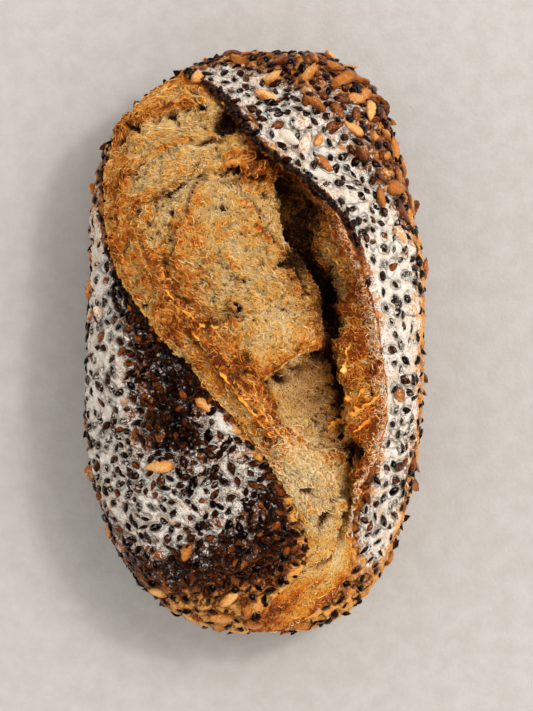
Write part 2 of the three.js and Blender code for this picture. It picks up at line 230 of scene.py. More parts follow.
class Noise:
    """Seeded gradient noise in space, and what is made from it."""

    KEYS = 256
    GAIN = 1.6
    OCTAVE_SHIFT = 31.7
    WARP_SHIFTS = (0.0, 57.1, 113.3)
    RIDGE_GAIN = 1.3
    RIDGE_MIDDLE = 0.4

    def __init__(self, seed: int) -> None:
        """Draws the lattice's gradients and its permutation."""
        draw = np.random.default_rng(seed)
        self.order = draw.permutation(self.KEYS).astype(np.int32)
        self.gradients = unit(draw.normal(size=(self.KEYS, 3))).astype(np.float32)
        self.jitter = draw.random((self.KEYS, 3)).astype(np.float32)

    def key(self, cell: Array) -> Array:
        """A number from 0 to KEYS - 1 for each lattice cell."""
        mask = self.KEYS - 1
        mixed = self.order[cell[..., 0] & mask]
        mixed = self.order[(mixed + cell[..., 1]) & mask]
        return self.order[(mixed + cell[..., 2]) & mask]

    def plain(self, points: Array, length: float) -> Array:
        """Gradient noise of one wavelength, about -1 to 1.

        Args:
            points: Places, in the units of length.
            length: Size of a lattice cell.

        Returns:
            The blend of the eight corners' gradient ramps by quintic weights.
        """
        at = (points / length).astype(np.float32)
        cell = np.floor(at).astype(np.int32)
        inside = at - cell
        weight = inside**3 * (inside * (inside * 6 - 15) + 10)
        total = np.zeros(points.shape[:-1], np.float32)
        for corner in np.ndindex(2, 2, 2):
            step = np.array(corner, np.int32)
            ramp = ((inside - step) * self.gradients[self.key(cell + step)]).sum(-1)
            total += ramp * np.where(step, weight, 1 - weight).prod(-1)
        return total * self.GAIN

    def fractal(self, points: Array, length: float, octaves: int = 3) -> Array:
        """Octaves of plain noise, each half as long and half as strong as the one before."""
        total = np.zeros(points.shape[:-1], np.float32)
        for octave in range(octaves):
            total += self.plain(points + self.OCTAVE_SHIFT * octave, length / 2**octave) / 2**octave
        return total

    def ridged(self, points: Array, length: float) -> Array:
        """Sharp ridges over wide hollows, evened out to about 0: the square of 1 - |noise|."""
        ridges = np.clip(1 - np.abs(self.plain(points, length)) * self.RIDGE_GAIN, 0, 1)
        return ridges**2 - self.RIDGE_MIDDLE

    def warp(self, points: Array, length: float, reach: float) -> Array:
        """The points, each moved up to reach by three plain noises."""
        moves = [self.plain(points + shift, length) for shift in self.WARP_SHIFTS]
        return points + reach * np.stack(moves, -1)

    def cells(self, points: Array, length: float) -> tuple[Array, Array]:
        """Distance to the nearest jittered cell centre, in cells, and that cell's own number from 0 to 1."""
        at = (points / length).astype(np.float32)
        cell = np.floor(at).astype(np.int32)
        nearest = np.full(points.shape[:-1], np.inf, np.float32)
        number = np.zeros(points.shape[:-1], np.float32)
        for corner in np.ndindex(3, 3, 3):
            there = cell + np.array(corner, np.int32) - 1
            key = self.key(there)
            gap = np.linalg.norm(there + self.jitter[key] - at, axis=-1)
            closer = gap < nearest
            nearest = np.where(closer, gap, nearest)
            number = np.where(closer, key / (self.KEYS - 1), number)
        return nearest, number


# The loaf's form


@dataclass(frozen=True)
class Tear:
    """A torn edge in the crumb, with the high ground on its left.

    The edge stands `high`, eases off over `behind` and falls steeply over `before` into a shallow trough.
    """

    brow: tuple[tuple[float, float], ...]
    high: float
    behind: float
    before: float

    TROUGH = 0.6
    TROUGH_REACH = 3
    FADE = 9

    def distance(self, x: Array, y: Array) -> tuple[Array, Array]:
        """Measures to the nearest leg of the brow.

        Args:
            x: Places across.
            y: Places along.

        Returns:
            The distance, above 0 on the high side, and a share that fades from 1 past the brow's ends.
        """
        shape = np.broadcast(x, y).shape
        nearest, distance, past = np.full(shape, np.inf), np.zeros(shape), np.zeros(shape)
        last = len(self.brow) - 1
        for i in range(1, last + 1):
            (from_x, from_y), (to_x, to_y) = self.brow[i - 1], self.brow[i]
            run_x, run_y = to_x - from_x, to_y - from_y
            length = math.hypot(run_x, run_y)
            t = ((x - from_x) * run_x + (y - from_y) * run_y) / length**2
            held = np.clip(t, 0, 1)
            away = np.hypot(x - from_x - held * run_x, y - from_y - held * run_y)
            beyond = ((t < 0) & (i == 1)) | ((t > 1) & (i == last))
            closer = away < nearest
            side = np.sign(run_x * (y - from_y) - run_y * (x - from_x))
            nearest = np.where(closer, away, nearest)
            distance = np.where(closer, side * away, distance)
            past = np.where(closer, np.where(beyond, np.abs(t - held) * length, 0), past)
        return distance, np.exp(-((past / self.FADE) ** 2))

    def relief(self, x: Array, y: Array) -> Array:
        """Height above the crumb's own form: an exponential slope on either side of the brow."""
        distance, fade = self.distance(x, y)
        back = np.exp(-np.maximum(distance, 0) / self.behind)
        ahead = np.minimum(distance, 0) / self.before
        fall = (1 + self.TROUGH) * np.exp(ahead) - self.TROUGH * np.exp(ahead / self.TROUGH_REACH)
        return self.high * fade * np.where(distance > 0, back, fall)


TEARS = (
    Tear(((-43, 48), (-38, 58), (-29, 64.5), (-8, 70), (16, 62)), 2.4, 16, 2.2),
    Tear(((-20.5, 62), (-26, 50), (-30.5, 38), (-31, 30)), 1.7, 12, 2.4),
    Tear(((-7, 8.5), (-20, 5.5), (-28, 12), (-34, 20), (-36, 30)), 3.8, 7, 2),
    Tear(((-24, 5), (-16, -6), (-6, -18), (1, -29), (6, -38)), 2.6, 5, 4),
)

# Lower folds, which are only in the dressed crumb.
FOLDS = (
    Tear(((-60, 77), (-49, 85.5), (-35, 91.5), (-23, 93.5)), 2.6, 6, 1.6),
    Tear(((-55, 60), (-43, 72), (-30, 79), (-15, 80)), 1.9, 5, 1.2),
    Tear(((-48, 50), (-36, 63), (-22, 71)), 1.5, 3, 1),
    Tear(((17, 20), (10, 34), (2, 45), (-4, 56)), 1, 4, 1.2),
    Tear(((14, -38), (6, -30), (2, -16), (-5, -7)), 2, 4, 1.2),
    Tear(((0, -13), (13, -5), (25, -1)), 2.2, 7, 1.3),
    Tear(((31, -45), (22, -43), (14, -38)), 1.2, 6, 1.4),
    Tear(((-11, -108), (3, -99), (18, -91), (35, -80)), 1.4, 4, 1.2),
    Tear(((-4, -114), (14, -103), (30, -92)), 1.2, 4, 1.2),
    Tear(((12, -84), (18, -72), (24, -62)), 1, 4, 1.2),
    Tear(((-12, 34), (-6, 24), (-10, 14)), 0.9, 5, 1),
    Tear(((-58, 30), (-48, 44), (-40, 34)), 0.9, 5, 1),
)


@dataclass(frozen=True)
class LoafForm:
    """The driving sizes of the bare loaf, and its sections."""

    half_length: float = 118
    half_width: float = 67
    waist: float = 33
    crown: float = 48
    outline_power: float = 2.6
    crown_power: float = 2.2
    section_power: float = 2.25
    foot_share: float = 0.78
    flat_share: float = 0.76
    most_across: float = 0.985
    lip_spread: float = 11
    brink_depth: float = 0.16
    wall_depth: float = 0.38
    hollow_reach: float = 0.35
    hollow_fall: float = 0.72
    swell_at_edge: float = 0.7

    def middle(self, along: Array) -> Array:
        """Where the middle of the outline is, across."""
        return along_table(OUTLINE, 1, along)

    def half_width_at(self, along: Array) -> Array:
        """Half the width of the loaf at its waist."""
        swell = along_table(OUTLINE, 2, along)
        return (self.half_width + swell) * superellipse(along / self.half_length, self.outline_power)

    def lumps(self, x: Array, y: Array) -> Array:
        """Slow unevenness of the baked crust, about a millimetre, from two products of sines."""
        return 0.7 * np.sin(0.061 * x + 0.043 * y + 0.8) * np.cos(0.052 * y - 0.031 * x) + 0.5 * np.sin(
            0.13 * x - 0.09 * y + 2.1
        )

    def knobs(self, x: Array, y: Array) -> Array:
        """Slow knobs of the crumb, from a product of sines."""
        return 0.9 * np.sin(0.21 * x + 0.12 * y) * np.sin(0.17 * y - 0.1 * x + 1.2)

    def dome(self, x: Array, along: Array) -> Array:
        """Height of the unbroken dome: waist + crown * superellipse along * superellipse across + lumps."""
        reach = along / self.half_length
        share = (x - self.middle(along)) / np.maximum(self.half_width_at(along), 1e-6)
        rise = self.crown * superellipse(reach, self.crown_power) * superellipse(share, self.section_power)
        return self.waist + rise + self.lumps(x, along) * superellipse(reach, 4)

    def slash(self, column: Column, along: Array) -> Array:
        """A column of the slash's table, a line kept inside the outline and a depth or lift above 0."""
        value = along_table(SLASH, column.value, along)
        if column in (Column.DEPTH, Column.LIFT):
            return np.maximum(value, 0)
        if column is Column.SWELL:
            return value
        middle = self.middle(along)
        most = self.most_across * self.half_width_at(along)
        return middle + np.clip(value - middle, -most, most)

    def foot(self, side: Side, along: Array) -> Array:
        """The edge of the base on one side, as [across, up], turned up towards the loaf's ends."""
        past = np.maximum(np.abs(along / self.half_length) - self.flat_share, 0) / (1 - self.flat_share)
        base = self.waist * (1 - superellipse(past, 2))
        x = self.middle(along) + side.value * self.foot_share * self.half_width_at(along)
        return np.stack([x, base], -1)


@dataclass(frozen=True)
class Ragged:
    """How far the torn lines wander from the solid's smooth ones, by two wavelengths of noise."""

    slow: float
    slow_length: float
    fast: float
    fast_length: float

    ROW_GAP = 40.0
    FAST_SHIFT = 7.3

    def wander(self, noise: Noise, along: Array, row: int) -> Array:
        """The sideways wander at each station; row sets apart the lines that share a noise."""
        places = np.stack([np.full_like(along, self.ROW_GAP * row), along, np.zeros_like(along)], -1)
        slow = self.slow * noise.plain(places, self.slow_length)
        return slow + self.fast * noise.plain(places + self.FAST_SHIFT, self.fast_length)


@dataclass
class Sections:
    """The loaf's sections at many stations, as arrays of (station, point, [across, along, up])."""

    form: LoafForm
    noise: Noise
    stations: int = 460
    end_crowding: float = 0.4
    fine: int = 48
    crusty: Ragged = Ragged(0.9, 11, 0.55, 3.2)
    crumbly: Ragged = Ragged(2.6, 12, 1.5, 4)
    shut_depth: float = 2
    open_depth: float = 12
    least_gap: float = 1e-4
    tears_from_edge: float = 7
    tears_from_brink: float = 5
    core_share: float = 0.7
    core_rise: float = 0.3

    def __post_init__(self) -> None:
        """Works out the stations and every line of the slash, ragged where it is open."""
        form = self.form
        turn = np.arange(1, self.stations) / self.stations
        crowded = -np.cos(np.pi * turn)
        even = 2 * turn - 1
        share = self.end_crowding * crowded + (1 - self.end_crowding) * even
        self.along = form.half_length * share
        self.depth = form.slash(Column.DEPTH, self.along)
        self.lift = form.slash(Column.LIFT, self.along)
        self.swell = form.slash(Column.SWELL, self.along)
        self.open = smoothstep(self.depth, self.shut_depth, self.open_depth)
        inner = self.crumbly.wander(self.noise, self.along, 2)
        outer = {
            column: self.crusty.wander(self.noise, self.along, column.value)
            for column in (Column.EDGE, Column.LIP)
        }
        self.line = {
            column: form.slash(column, self.along) + self.open * outer.get(column, inner)
            for column in (Column.EDGE, Column.BRINK, Column.CREVICE, Column.WALL, Column.LIP)
        }

    def place(self, x: Array, z: Array) -> Array:
        """Points from their place across and their height, with the stations' place along filled in."""
        along = np.broadcast_to(self.along.reshape(-1, *[1] * (x.ndim - 1)), x.shape)
        return np.stack([x, along, z], -1)

    def crust(self, side: Side, count: int) -> Array:
        """The crust from its foot up to the slash on the right, or from the slash to its foot on the left.

        The flank is a quarter ellipse from the base to the waist. Above it the crust climbs the dome by equal
        turns of the ellipse, and on the right it curls up towards the lip by lift * exp(-(gap / spread)^2).

        Args:
            side: Which crust.
            count: Points in each section.

        Returns:
            The grid, before its fine relief.
        """
        form = self.form
        along = self.along[:, None]
        middle, half = form.middle(along), form.half_width_at(along)
        base = form.foot(side, along)[..., 1]
        down = (1 - np.linspace(0, 1, self.fine, endpoint=False))[None] * np.pi / 2
        width = form.foot_share + (1 - form.foot_share) * np.cos(down)
        height = form.waist - (form.waist - base) * np.sin(down)
        flank = self.place(middle + side.value * half * width, height)
        stop = self.line[Column.LIP if side is Side.RIGHT else Column.EDGE][:, None]
        end = np.arccos(np.clip((stop - middle) * side.value / half, -1, 1))
        turn = end * np.linspace(0, 1, 3 * self.fine)[None]
        x = middle + side.value * half * np.cos(turn)
        z = form.dome(x, along)
        if side is Side.RIGHT:
            z = z + self.lift[:, None] * np.exp(-(((x - stop) / form.lip_spread) ** 2))
        line = np.concatenate([flank, self.place(x, z)], 1)
        grid = resample(line, count)
        return grid if side is Side.RIGHT else grid[:, ::-1]

    def slash_knots(self) -> Array:
        """The eight points that the open slash passes in a section, as (knot, station, [across, up])."""
        form = self.form
        edge, brink, crevice, wall, lip = self.line.values()
        third = (brink - edge) / 3
        hollow = brink + form.hollow_reach * (crevice - brink)

        def dome(x: Array) -> Array:
            """The dome's height at a place across."""
            return form.dome(x, self.along)

        def fall(share: float) -> Array:
            """How far below the dome the slash is, from the brink, 0, to the crevice, 1."""
            return self.depth * (form.brink_depth + (1 - form.brink_depth) * share)

        knots = [
            (lip, dome(lip) + self.lift),
            (wall, dome(wall) - self.depth * form.wall_depth),
            (crevice, dome(crevice) - self.depth),
            (hollow, dome(hollow) - fall(form.hollow_fall)),
            (brink, dome(brink) - fall(0)),
            (brink - third, dome(brink - third) + self.swell),
            (edge + third, dome(edge + third) + self.swell * form.swell_at_edge),
            (edge, dome(edge)),
        ]
        return np.array([np.stack(knot, -1) for knot in knots])

    def slash_curve(self, first: int, last: int) -> Array:
        """The centripetal Catmull-Rom curve through the knots of the slash.

        Args:
            first: The knot that it starts at.
            last: The knot that it ends at.

        Returns:
            The grid from first to last, with the tears' relief on the crumb.
        """
        knots = self.slash_knots()
        ends = [2 * knots[0] - knots[1], *knots, 2 * knots[-1] - knots[-2]]
        pieces = []
        for span in range(first, last):
            p0, p1, p2, p3 = ends[span : span + 4]
            gaps = (np.linalg.norm(b - a, axis=-1, keepdims=True) for a, b in ((p0, p1), (p1, p2), (p2, p3)))
            t0, t1, t2 = (np.maximum(gap, self.least_gap) ** 0.5 for gap in gaps)
            start = ((p1 - p0) / t0 - (p2 - p0) / (t0 + t1) + (p2 - p1) / t1) * t1
            stop = ((p2 - p1) / t1 - (p3 - p1) / (t1 + t2) + (p3 - p2) / t2) * t1
            squared = -3 * p1 + 3 * p2 - 2 * start - stop
            cubed = 2 * p1 - 2 * p2 + start + stop
            a, b, c, d = (value[:, None] for value in (p1, start, squared, cubed))
            t = np.linspace(0, 1, self.fine, endpoint=span == last - 1)[None, :, None]
            pieces.append(a + b * t + c * t**2 + d * t**3)
        line = np.concatenate(pieces, 1)
        x, z = line[..., 0], line[..., 1]
        edge, brink = self.line[Column.EDGE][:, None], self.line[Column.BRINK][:, None]
        inside = smoothstep(x, edge, edge + self.tears_from_edge)
        inside = inside * (1 - smoothstep(x, brink - self.tears_from_brink, brink)) * self.open[:, None]
        along = self.along[:, None]
        z = z + inside * (sum(tear.relief(x, along) for tear in TEARS) + self.form.knobs(x, along))
        return self.place(x, z)

    def inner(self) -> dict[str, Array]:
        """The lines inside the loaf where the five pieces meet: right, middle and left of its core."""
        form = self.form
        edge, _, crevice, _, lip = self.line.values()
        lip = np.stack([lip, form.dome(lip, self.along) + self.lift], -1)
        edge = np.stack([edge, form.dome(edge, self.along)], -1)
        right_foot, left_foot = form.foot(Side.RIGHT, self.along), form.foot(Side.LEFT, self.along)
        base = right_foot[..., 1]
        top = form.dome(crevice, self.along) - self.depth
        lines = {
            "right": lip + self.core_share * (right_foot - lip),
            "middle": np.stack([crevice, base + self.core_rise * (top - base)], -1),
            "left": edge + self.core_share * (left_foot - edge),
        }
        return {name: self.place(line[:, 0], line[:, 1])[:, None] for name, line in lines.items()}

    def pole(self, end: int) -> Array:
        """The point that the sections close to at the heel, -1, or the tip, 1."""
        along = np.array([end * self.form.half_length])
        return np.array([self.form.middle(along)[0], along[0], self.form.waist])


# Meshes


@dataclass
class Shell:
    """A mesh in the making: points, quads, triangles and the map coordinates of their corners."""

    points: Array
    quads: Array
    triangles: Array
    quad_map: Array
    triangle_map: Array

    def to_object(self, name: str, attributes: dict[str, Array], material: Material) -> Object:
        """Makes the Blender object.

        Args:
            name: The piece's name.
            attributes: One number for each point, by name, for the material to read.
            material: The piece's finish.

        Returns:
            The object, at the origin, in metres and smoothly shaded.
        """
        mesh = bpy.data.meshes.new(name)
        corners = np.concatenate([self.quads.ravel(), self.triangles.ravel()]).astype(np.int32)
        starts = np.concatenate(
            [4 * np.arange(len(self.quads)), 4 * len(self.quads) + 3 * np.arange(len(self.triangles))]
        ).astype(np.int32)
        mesh.vertices.add(len(self.points))
        mesh.vertices.foreach_set("co", (self.points * MM).astype(np.float32).ravel())
        mesh.loops.add(len(corners))
        mesh.loops.foreach_set("vertex_index", corners)
        mesh.polygons.add(len(starts))
        mesh.polygons.foreach_set("loop_start", starts)
        mesh.update(calc_edges=True)
        layer = mesh.uv_layers.new(name="OFBake")
        places = np.concatenate([self.quad_map.reshape(-1, 2), self.triangle_map.reshape(-1, 2)])
        layer.uv.foreach_set("vector", places.astype(np.float32).ravel())
        for key, values in attributes.items():
            numbers = mesh.attributes.new(key, "FLOAT", "POINT")
            numbers.data.foreach_set("value", values.astype(np.float32).ravel())
        mesh.shade_smooth()
        mesh.materials.append(material)
        made = bpy.data.objects.new(name, mesh)
        bpy.context.scene.collection.objects.link(made)
        count = 2 * len(self.quads) + len(self.triangles)
        LOG.info("%s: %d points, %d triangles", name, len(self.points), count)
        return made


def closed_shell(rings: Array, heel: Array, tip: Array) -> Shell:
    """Joins closed rings one after another and closes each end to a point.

    Args:
        rings: Points as (ring, point, [across, along, up]).
        heel: The point before the first ring.
        tip: The point after the last ring.

    Returns:
        The shell, whose map is the grid itself, drawn on the unit square.
    """
    count, size = rings.shape[:2]
    points = np.concatenate([rings.reshape(-1, 3), [heel], [tip]])
    ring, at = np.meshgrid(np.arange(count - 1), np.arange(size), indexing="ij")
    after = (at + 1) % size
    here, there = ring * size, (ring + 1) * size
    quads = np.stack([here + at, there + at, there + after, here + after], -1)
    u0, u1 = at / size, (at + 1) / size
    v0, v1 = (ring + 1) / (count + 1), (ring + 2) / (count + 1)
    quad_map = np.stack([np.stack(corner, -1) for corner in ((u0, v0), (u0, v1), (u1, v1), (u1, v0))], -2)
    i = np.arange(size)
    j = (i + 1) % size
    last = (count - 1) * size
    fans = [
        np.stack([np.full(size, len(points) - 2), i, j], -1),
        np.stack([np.full(size, len(points) - 1), last + j, last + i], -1),
    ]
    a, b, mid = i / size, (i + 1) / size, (i + 0.5) / size
    low, high = np.full(size, 1 / (count + 1)), np.full(size, count / (count + 1))
    fan_maps = [
        np.stack([np.stack(corner, -1) for corner in ((mid, 0 * mid), (a, low), (b, low))], -2),
        np.stack([np.stack(corner, -1) for corner in ((mid, 0 * mid + 1), (b, high), (a, high))], -2),
    ]
    triangles, triangle_map = np.concatenate(fans), np.concatenate(fan_maps)
    return Shell(points, quads.reshape(-1, 4), triangles, quad_map.reshape(-1, 4, 2), triangle_map)


def joined(shells: list[Shell]) -> Shell:
    """One shell of several, each with its own tile of the map."""
    tiles = math.ceil(math.sqrt(len(shells)))
    starts = np.cumsum([0] + [len(shell.points) for shell in shells])
    inset, span = 0.02 / tiles, 0.96 / tiles
    corners = [np.array([i % tiles, i // tiles]) / tiles + inset for i in range(len(shells))]
    return Shell(
        np.concatenate([shell.points for shell in shells]),
        np.concatenate([shell.quads + start for shell, start in zip(shells, starts)]),
        np.concatenate([shell.triangles + start for shell, start in zip(shells, starts)]),
        np.concatenate([corner + shell.quad_map * span for shell, corner in zip(shells, corners)]),
        np.concatenate([corner + shell.triangle_map * span for shell, corner in zip(shells, corners)]),
    )


def tiled(template: Shell, points: Array) -> Shell:
    """One shell of many that are joined up like the template.

    Args:
        template: The small shell.
        points: The points of each one, as (one, point, [across, along, up]).

    Returns:
        The joined shell, each one with its own tile of the map.
    """
    count, size = points.shape[:2]
    shift = np.arange(count)[:, None, None] * size
    tiles = math.ceil(math.sqrt(count))
    corner = np.stack([np.arange(count) % tiles, np.arange(count) // tiles], -1)[:, None, None] / tiles
    inset, span = 0.06 / tiles, 0.88 / tiles
    return Shell(
        points.reshape(-1, 3),
        (template.quads[None] + shift).reshape(-1, 4),
        (template.triangles[None] + shift).reshape(-1, 3),
        (corner + inset + template.quad_map[None] * span).reshape(-1, 4, 2),
        (corner + inset + template.triangle_map[None] * span).reshape(-1, 3, 2),
    )


def copies(template: Shell, sizes: Array, frames: Array, places: Array) -> Shell:
    """One shell of many copies of a small one.

    Args:
        template: The shape, one unit long, wide and thick.
        sizes: Length, width and thickness of each copy.
        frames: Each copy's lengthwise, sideways and outward directions, as rows.
        places: Each copy's middle.

    Returns:
        The joined shell.
    """
    scaled = template.points[None] * sizes[:, None]
    return tiled(template, np.einsum("nvk,nkd->nvd", scaled, frames) + places[:, None])


# Shader graphs


def srgb(red: float, green: float, blue: float) -> tuple[float, float, float, float]:
    """A colour given as it looks, 0 to 255, as the linear colour that a shader takes."""
    shares = [c / 255 for c in (red, green, blue)]
    linear = [s / 12.92 if s <= 0.04045 else ((s + 0.055) / 1.055) ** 2.4 for s in shares]
    return (*linear, 1.0)


class Value:
    """A number that varies over a surface, with sums written as Python expressions."""

    def __init__(self, graph: Graph, socket: NodeSocket) -> None:
        """Wraps an output socket of a graph."""
        self.graph = graph
        self.socket = socket

    def _maths(self, operation: str, *inputs: Value | float) -> Value:
        """Adds a Math node."""
        made = self.graph.node("ShaderNodeMath", {"operation": operation}, dict(enumerate(inputs)))
        return Value(self.graph, made.outputs[0])

    def __add__(self, other: Value | float) -> Value:
        """self + other."""
        return self._maths("ADD", self, other)

    def __radd__(self, other: float) -> Value:
        """other + self."""
        return self._maths("ADD", other, self)

    def __sub__(self, other: Value | float) -> Value:
        """self - other."""
        return self._maths("SUBTRACT", self, other)

    def __rsub__(self, other: float) -> Value:
        """other - self."""
        return self._maths("SUBTRACT", other, self)

    def __mul__(self, other: Value | float) -> Value:
        """self * other."""
        return self._maths("MULTIPLY", self, other)

    def __rmul__(self, other: float) -> Value:
        """other * self."""
        return self._maths("MULTIPLY", other, self)

    def swing(self, amount: Value | float) -> Value:
        """A noise about 0, as much to either side as its amount: (self - 0.5) * amount."""
        return (self - 0.5) * amount

    def between(self, low: float, high: float) -> Value:
        """0 at low and 1 at high, smoothly, and held past them."""
        settings = {"interpolation_type": "SMOOTHSTEP"}
        made = self.graph.node("ShaderNodeMapRange", settings, {0: self, 1: low, 2: high})
        return Value(self.graph, made.outputs[0])

    def held(self) -> Value:
        """Kept from 0 to 1."""
        made = self.graph.node("ShaderNodeClamp", {}, {0: self})
        return Value(self.graph, made.outputs[0])


class Graph:
    """A node tree."""

    def __init__(self, tree: bpy.types.NodeTree) -> None:
        """Wraps the tree."""
        self.tree = tree

    def node(self, kind: str, settings: dict, inputs: dict) -> bpy.types.Node:
        """Adds a node.

        Args:
            kind: Its type.
            settings: Its own properties; a ramp's stops are given as (place, colour) under "stops".
            inputs: Values or links of its sockets, by name or number.

        Returns:
            The node.
        """
        made = self.tree.nodes.new(kind)
        for key, value in settings.items():
            if key == "stops":
                self._set_stops(made.color_ramp, value)
            else:
                setattr(made, key, value)
        for key, value in inputs.items():
            self.feed(made.inputs[key], value)
        return made

    @staticmethod
    def _set_stops(ramp: bpy.types.ColorRamp, stops: list[tuple[float, tuple]]) -> None:
        """Gives a ramp its stops."""
        while len(ramp.elements) < len(stops):
            ramp.elements.new(0.5)
        for element, (place, colour) in zip(ramp.elements, stops):
            element.position = place
            element.color = colour

    def feed(self, socket: NodeSocket, value: object) -> None:
        """Links a socket to what feeds it, or sets its own value."""
        if isinstance(value, Value):
            value = value.socket
        if isinstance(value, NodeSocket):
            self.tree.links.new(value, socket)
        else:
            socket.default_value = value

    def ramp(self, value: Value, *stops: tuple[float, tuple]) -> NodeSocket:
        """A colour for each value."""
        return self.node("ShaderNodeValToRGB", {"stops": list(stops)}, {"Fac": value}).outputs["Color"]

    def mix(self, share: Value | float, first: object, second: object) -> NodeSocket:
        """A blend of two colours."""
        made = self.node("ShaderNodeMix", {"data_type": "RGBA"}, {"Factor": share})
        self.feed(made.inputs[6], first)
        self.feed(made.inputs[7], second)
        return made.outputs[2]


class Finish(Graph):
    """A material's node tree, with its Principled shader ready."""

    def __init__(self, name: str) -> None:
        """Makes the material."""
        self.material = bpy.data.materials.new(name)
        self.material.use_nodes = True
        super().__init__(self.material.node_tree)
        self.shader = self.tree.nodes["Principled BSDF"]
        self.place = self.node("ShaderNodeTexCoord", {}, {}).outputs["Object"]

    def noise(self, length: float, detail: float = 2, rough: float = 0.5, warp: float = 0) -> Value:
        """Noise of a wavelength in millimetres, about 0 to 1."""
        inputs = {"Vector": self.place, "Scale": 1 / (length * MM), "Detail": detail, "Roughness": rough}
        return Value(self, self.node("ShaderNodeTexNoise", {}, inputs | {"Distortion": warp}).outputs[0])

    def attribute(self, name: str) -> Value:
        """The piece's own number for each point."""
        return Value(self, self.node("ShaderNodeAttribute", {"attribute_name": name}, {}).outputs["Fac"])

    def bump(self, height: Value, depth: float) -> NodeSocket:
        """Fine relief: a height from 0 to 1 that is depth millimetres deep."""
        inputs = {"Height": height, "Distance": depth * MM, "Strength": 1.0}
        return self.node("ShaderNodeBump", {}, inputs).outputs["Normal"]

    def done(self, **sockets: object) -> Material:
        """Feeds the shader's sockets and returns the material; underscores stand for spaces."""
        for name, value in sockets.items():
            self.feed(self.shader.inputs[name.replace("_", " ")], value)
        return self.material


# Finishes


@dataclass(frozen=True)
class CrumbFinish:
    """Torn crumb: pale and fibrous in its hollows, toasted on its ridges, with painted shade where it is deep.
    """

    pale: tuple = srgb(255, 219, 156)
    golden: tuple = srgb(255, 193, 96)
    toasted: tuple = srgb(252, 148, 34)
    baked: tuple = srgb(210, 92, 8)
    scorched: tuple = srgb(104, 36, 2)
    # Painted shade: the tints it turns to on pale and on toasted crumb, then its darkest painted shadow.
    shade_on_toasted: tuple = srgb(190, 94, 6)
    shade_on_pale: tuple = srgb(186, 110, 24)
    shadow: tuple = srgb(44, 17, 1)
    # Painted highlight on the raised threads.
    painted_highlight: tuple = srgb(255, 231, 178)
    thread_length: float = 1.0
    patch_length: float = 6.5
    grain_length: float = 0.5
    depth: float = 1.7
    mottle: float = 1.0
    rough: float = 0.6
    shine: float = 0.1

    def make(self, name: str) -> Material:
        """Builds the material; it reads two point attributes: the crumb's toast, and its share of painted
        shade.
        """
        g = Finish(name)
        toast, painted_shade = g.attribute("toast"), g.attribute("painted_shade")
        threads = g.noise(self.thread_length, 3, 0.65, 2.4)
        patches = g.noise(self.patch_length, 4, 0.62, 1.4)
        level = (toast + threads.swing(0.85 * self.mottle) + patches.swing(0.3 + 1.7 * toast.held())).held()
        shades = (self.pale, self.golden, self.toasted, self.baked, self.scorched)
        colour = g.ramp(level, *zip((0.0, 0.3, 0.6, 0.84, 1.0), shades))
        # Painted highlight: lighter where the fine threads rise.
        colour = g.mix((threads - 0.5).between(0.05, 0.2) * 0.6 * self.mottle, colour, self.painted_highlight)
        # Painted shade: the gaps between the threads and the painted shade attribute darken the colour to a
        # shade tint, then to the painted shadow.
        gaps = (0.5 - threads).between(0.01, 0.13) * 0.95 * self.mottle
        depth = painted_shade + gaps + patches.swing(0.3)
        shade_tint = g.mix(toast.between(0.15, 0.6), self.shade_on_pale, self.shade_on_toasted)
        colour = g.mix(depth.between(0, 0.65) * 0.8, colour, shade_tint)
        colour = g.mix(depth.between(0.4, 1.05), colour, self.shadow)
        fine = threads * 0.6 + g.noise(self.grain_length, 2, 0.6, 1.5) * 0.4
        return g.done(
            Base_Color=colour,
            Roughness=(self.rough + 0.25 * patches).held(),
            Normal=g.bump(fine, self.depth),
            Specular_IOR_Level=self.shine,
        )


# The ground, the baked wall, and the threads, bare and floured.
GROUND = CrumbFinish()
# Painted light: the wall's copy of the ground has brighter toasted, baked and scorched colours, to make up for
# the shade that the wall stands in.
WALL = replace(
    GROUND,
    toasted=srgb(255, 166, 44),
    baked=srgb(246, 130, 18),
    scorched=srgb(166, 66, 5),
)
STRAND = CrumbFinish(
    pale=srgb(255, 227, 172),
    golden=srgb(255, 210, 122),
    toasted=srgb(255, 170, 54),
    baked=srgb(238, 118, 16),
    scorched=srgb(126, 46, 4),
    depth=0.3,
    mottle=0.25,
    rough=0.2,
    shine=0.26,
)
FLOURED = CrumbFinish(
    pale=srgb(255, 250, 240),
    golden=srgb(255, 240, 218),
    toasted=srgb(255, 214, 160),
    baked=srgb(236, 150, 70),
    depth=0.3,
    mottle=0.25,
    rough=0.3,
    shine=0.26,
)


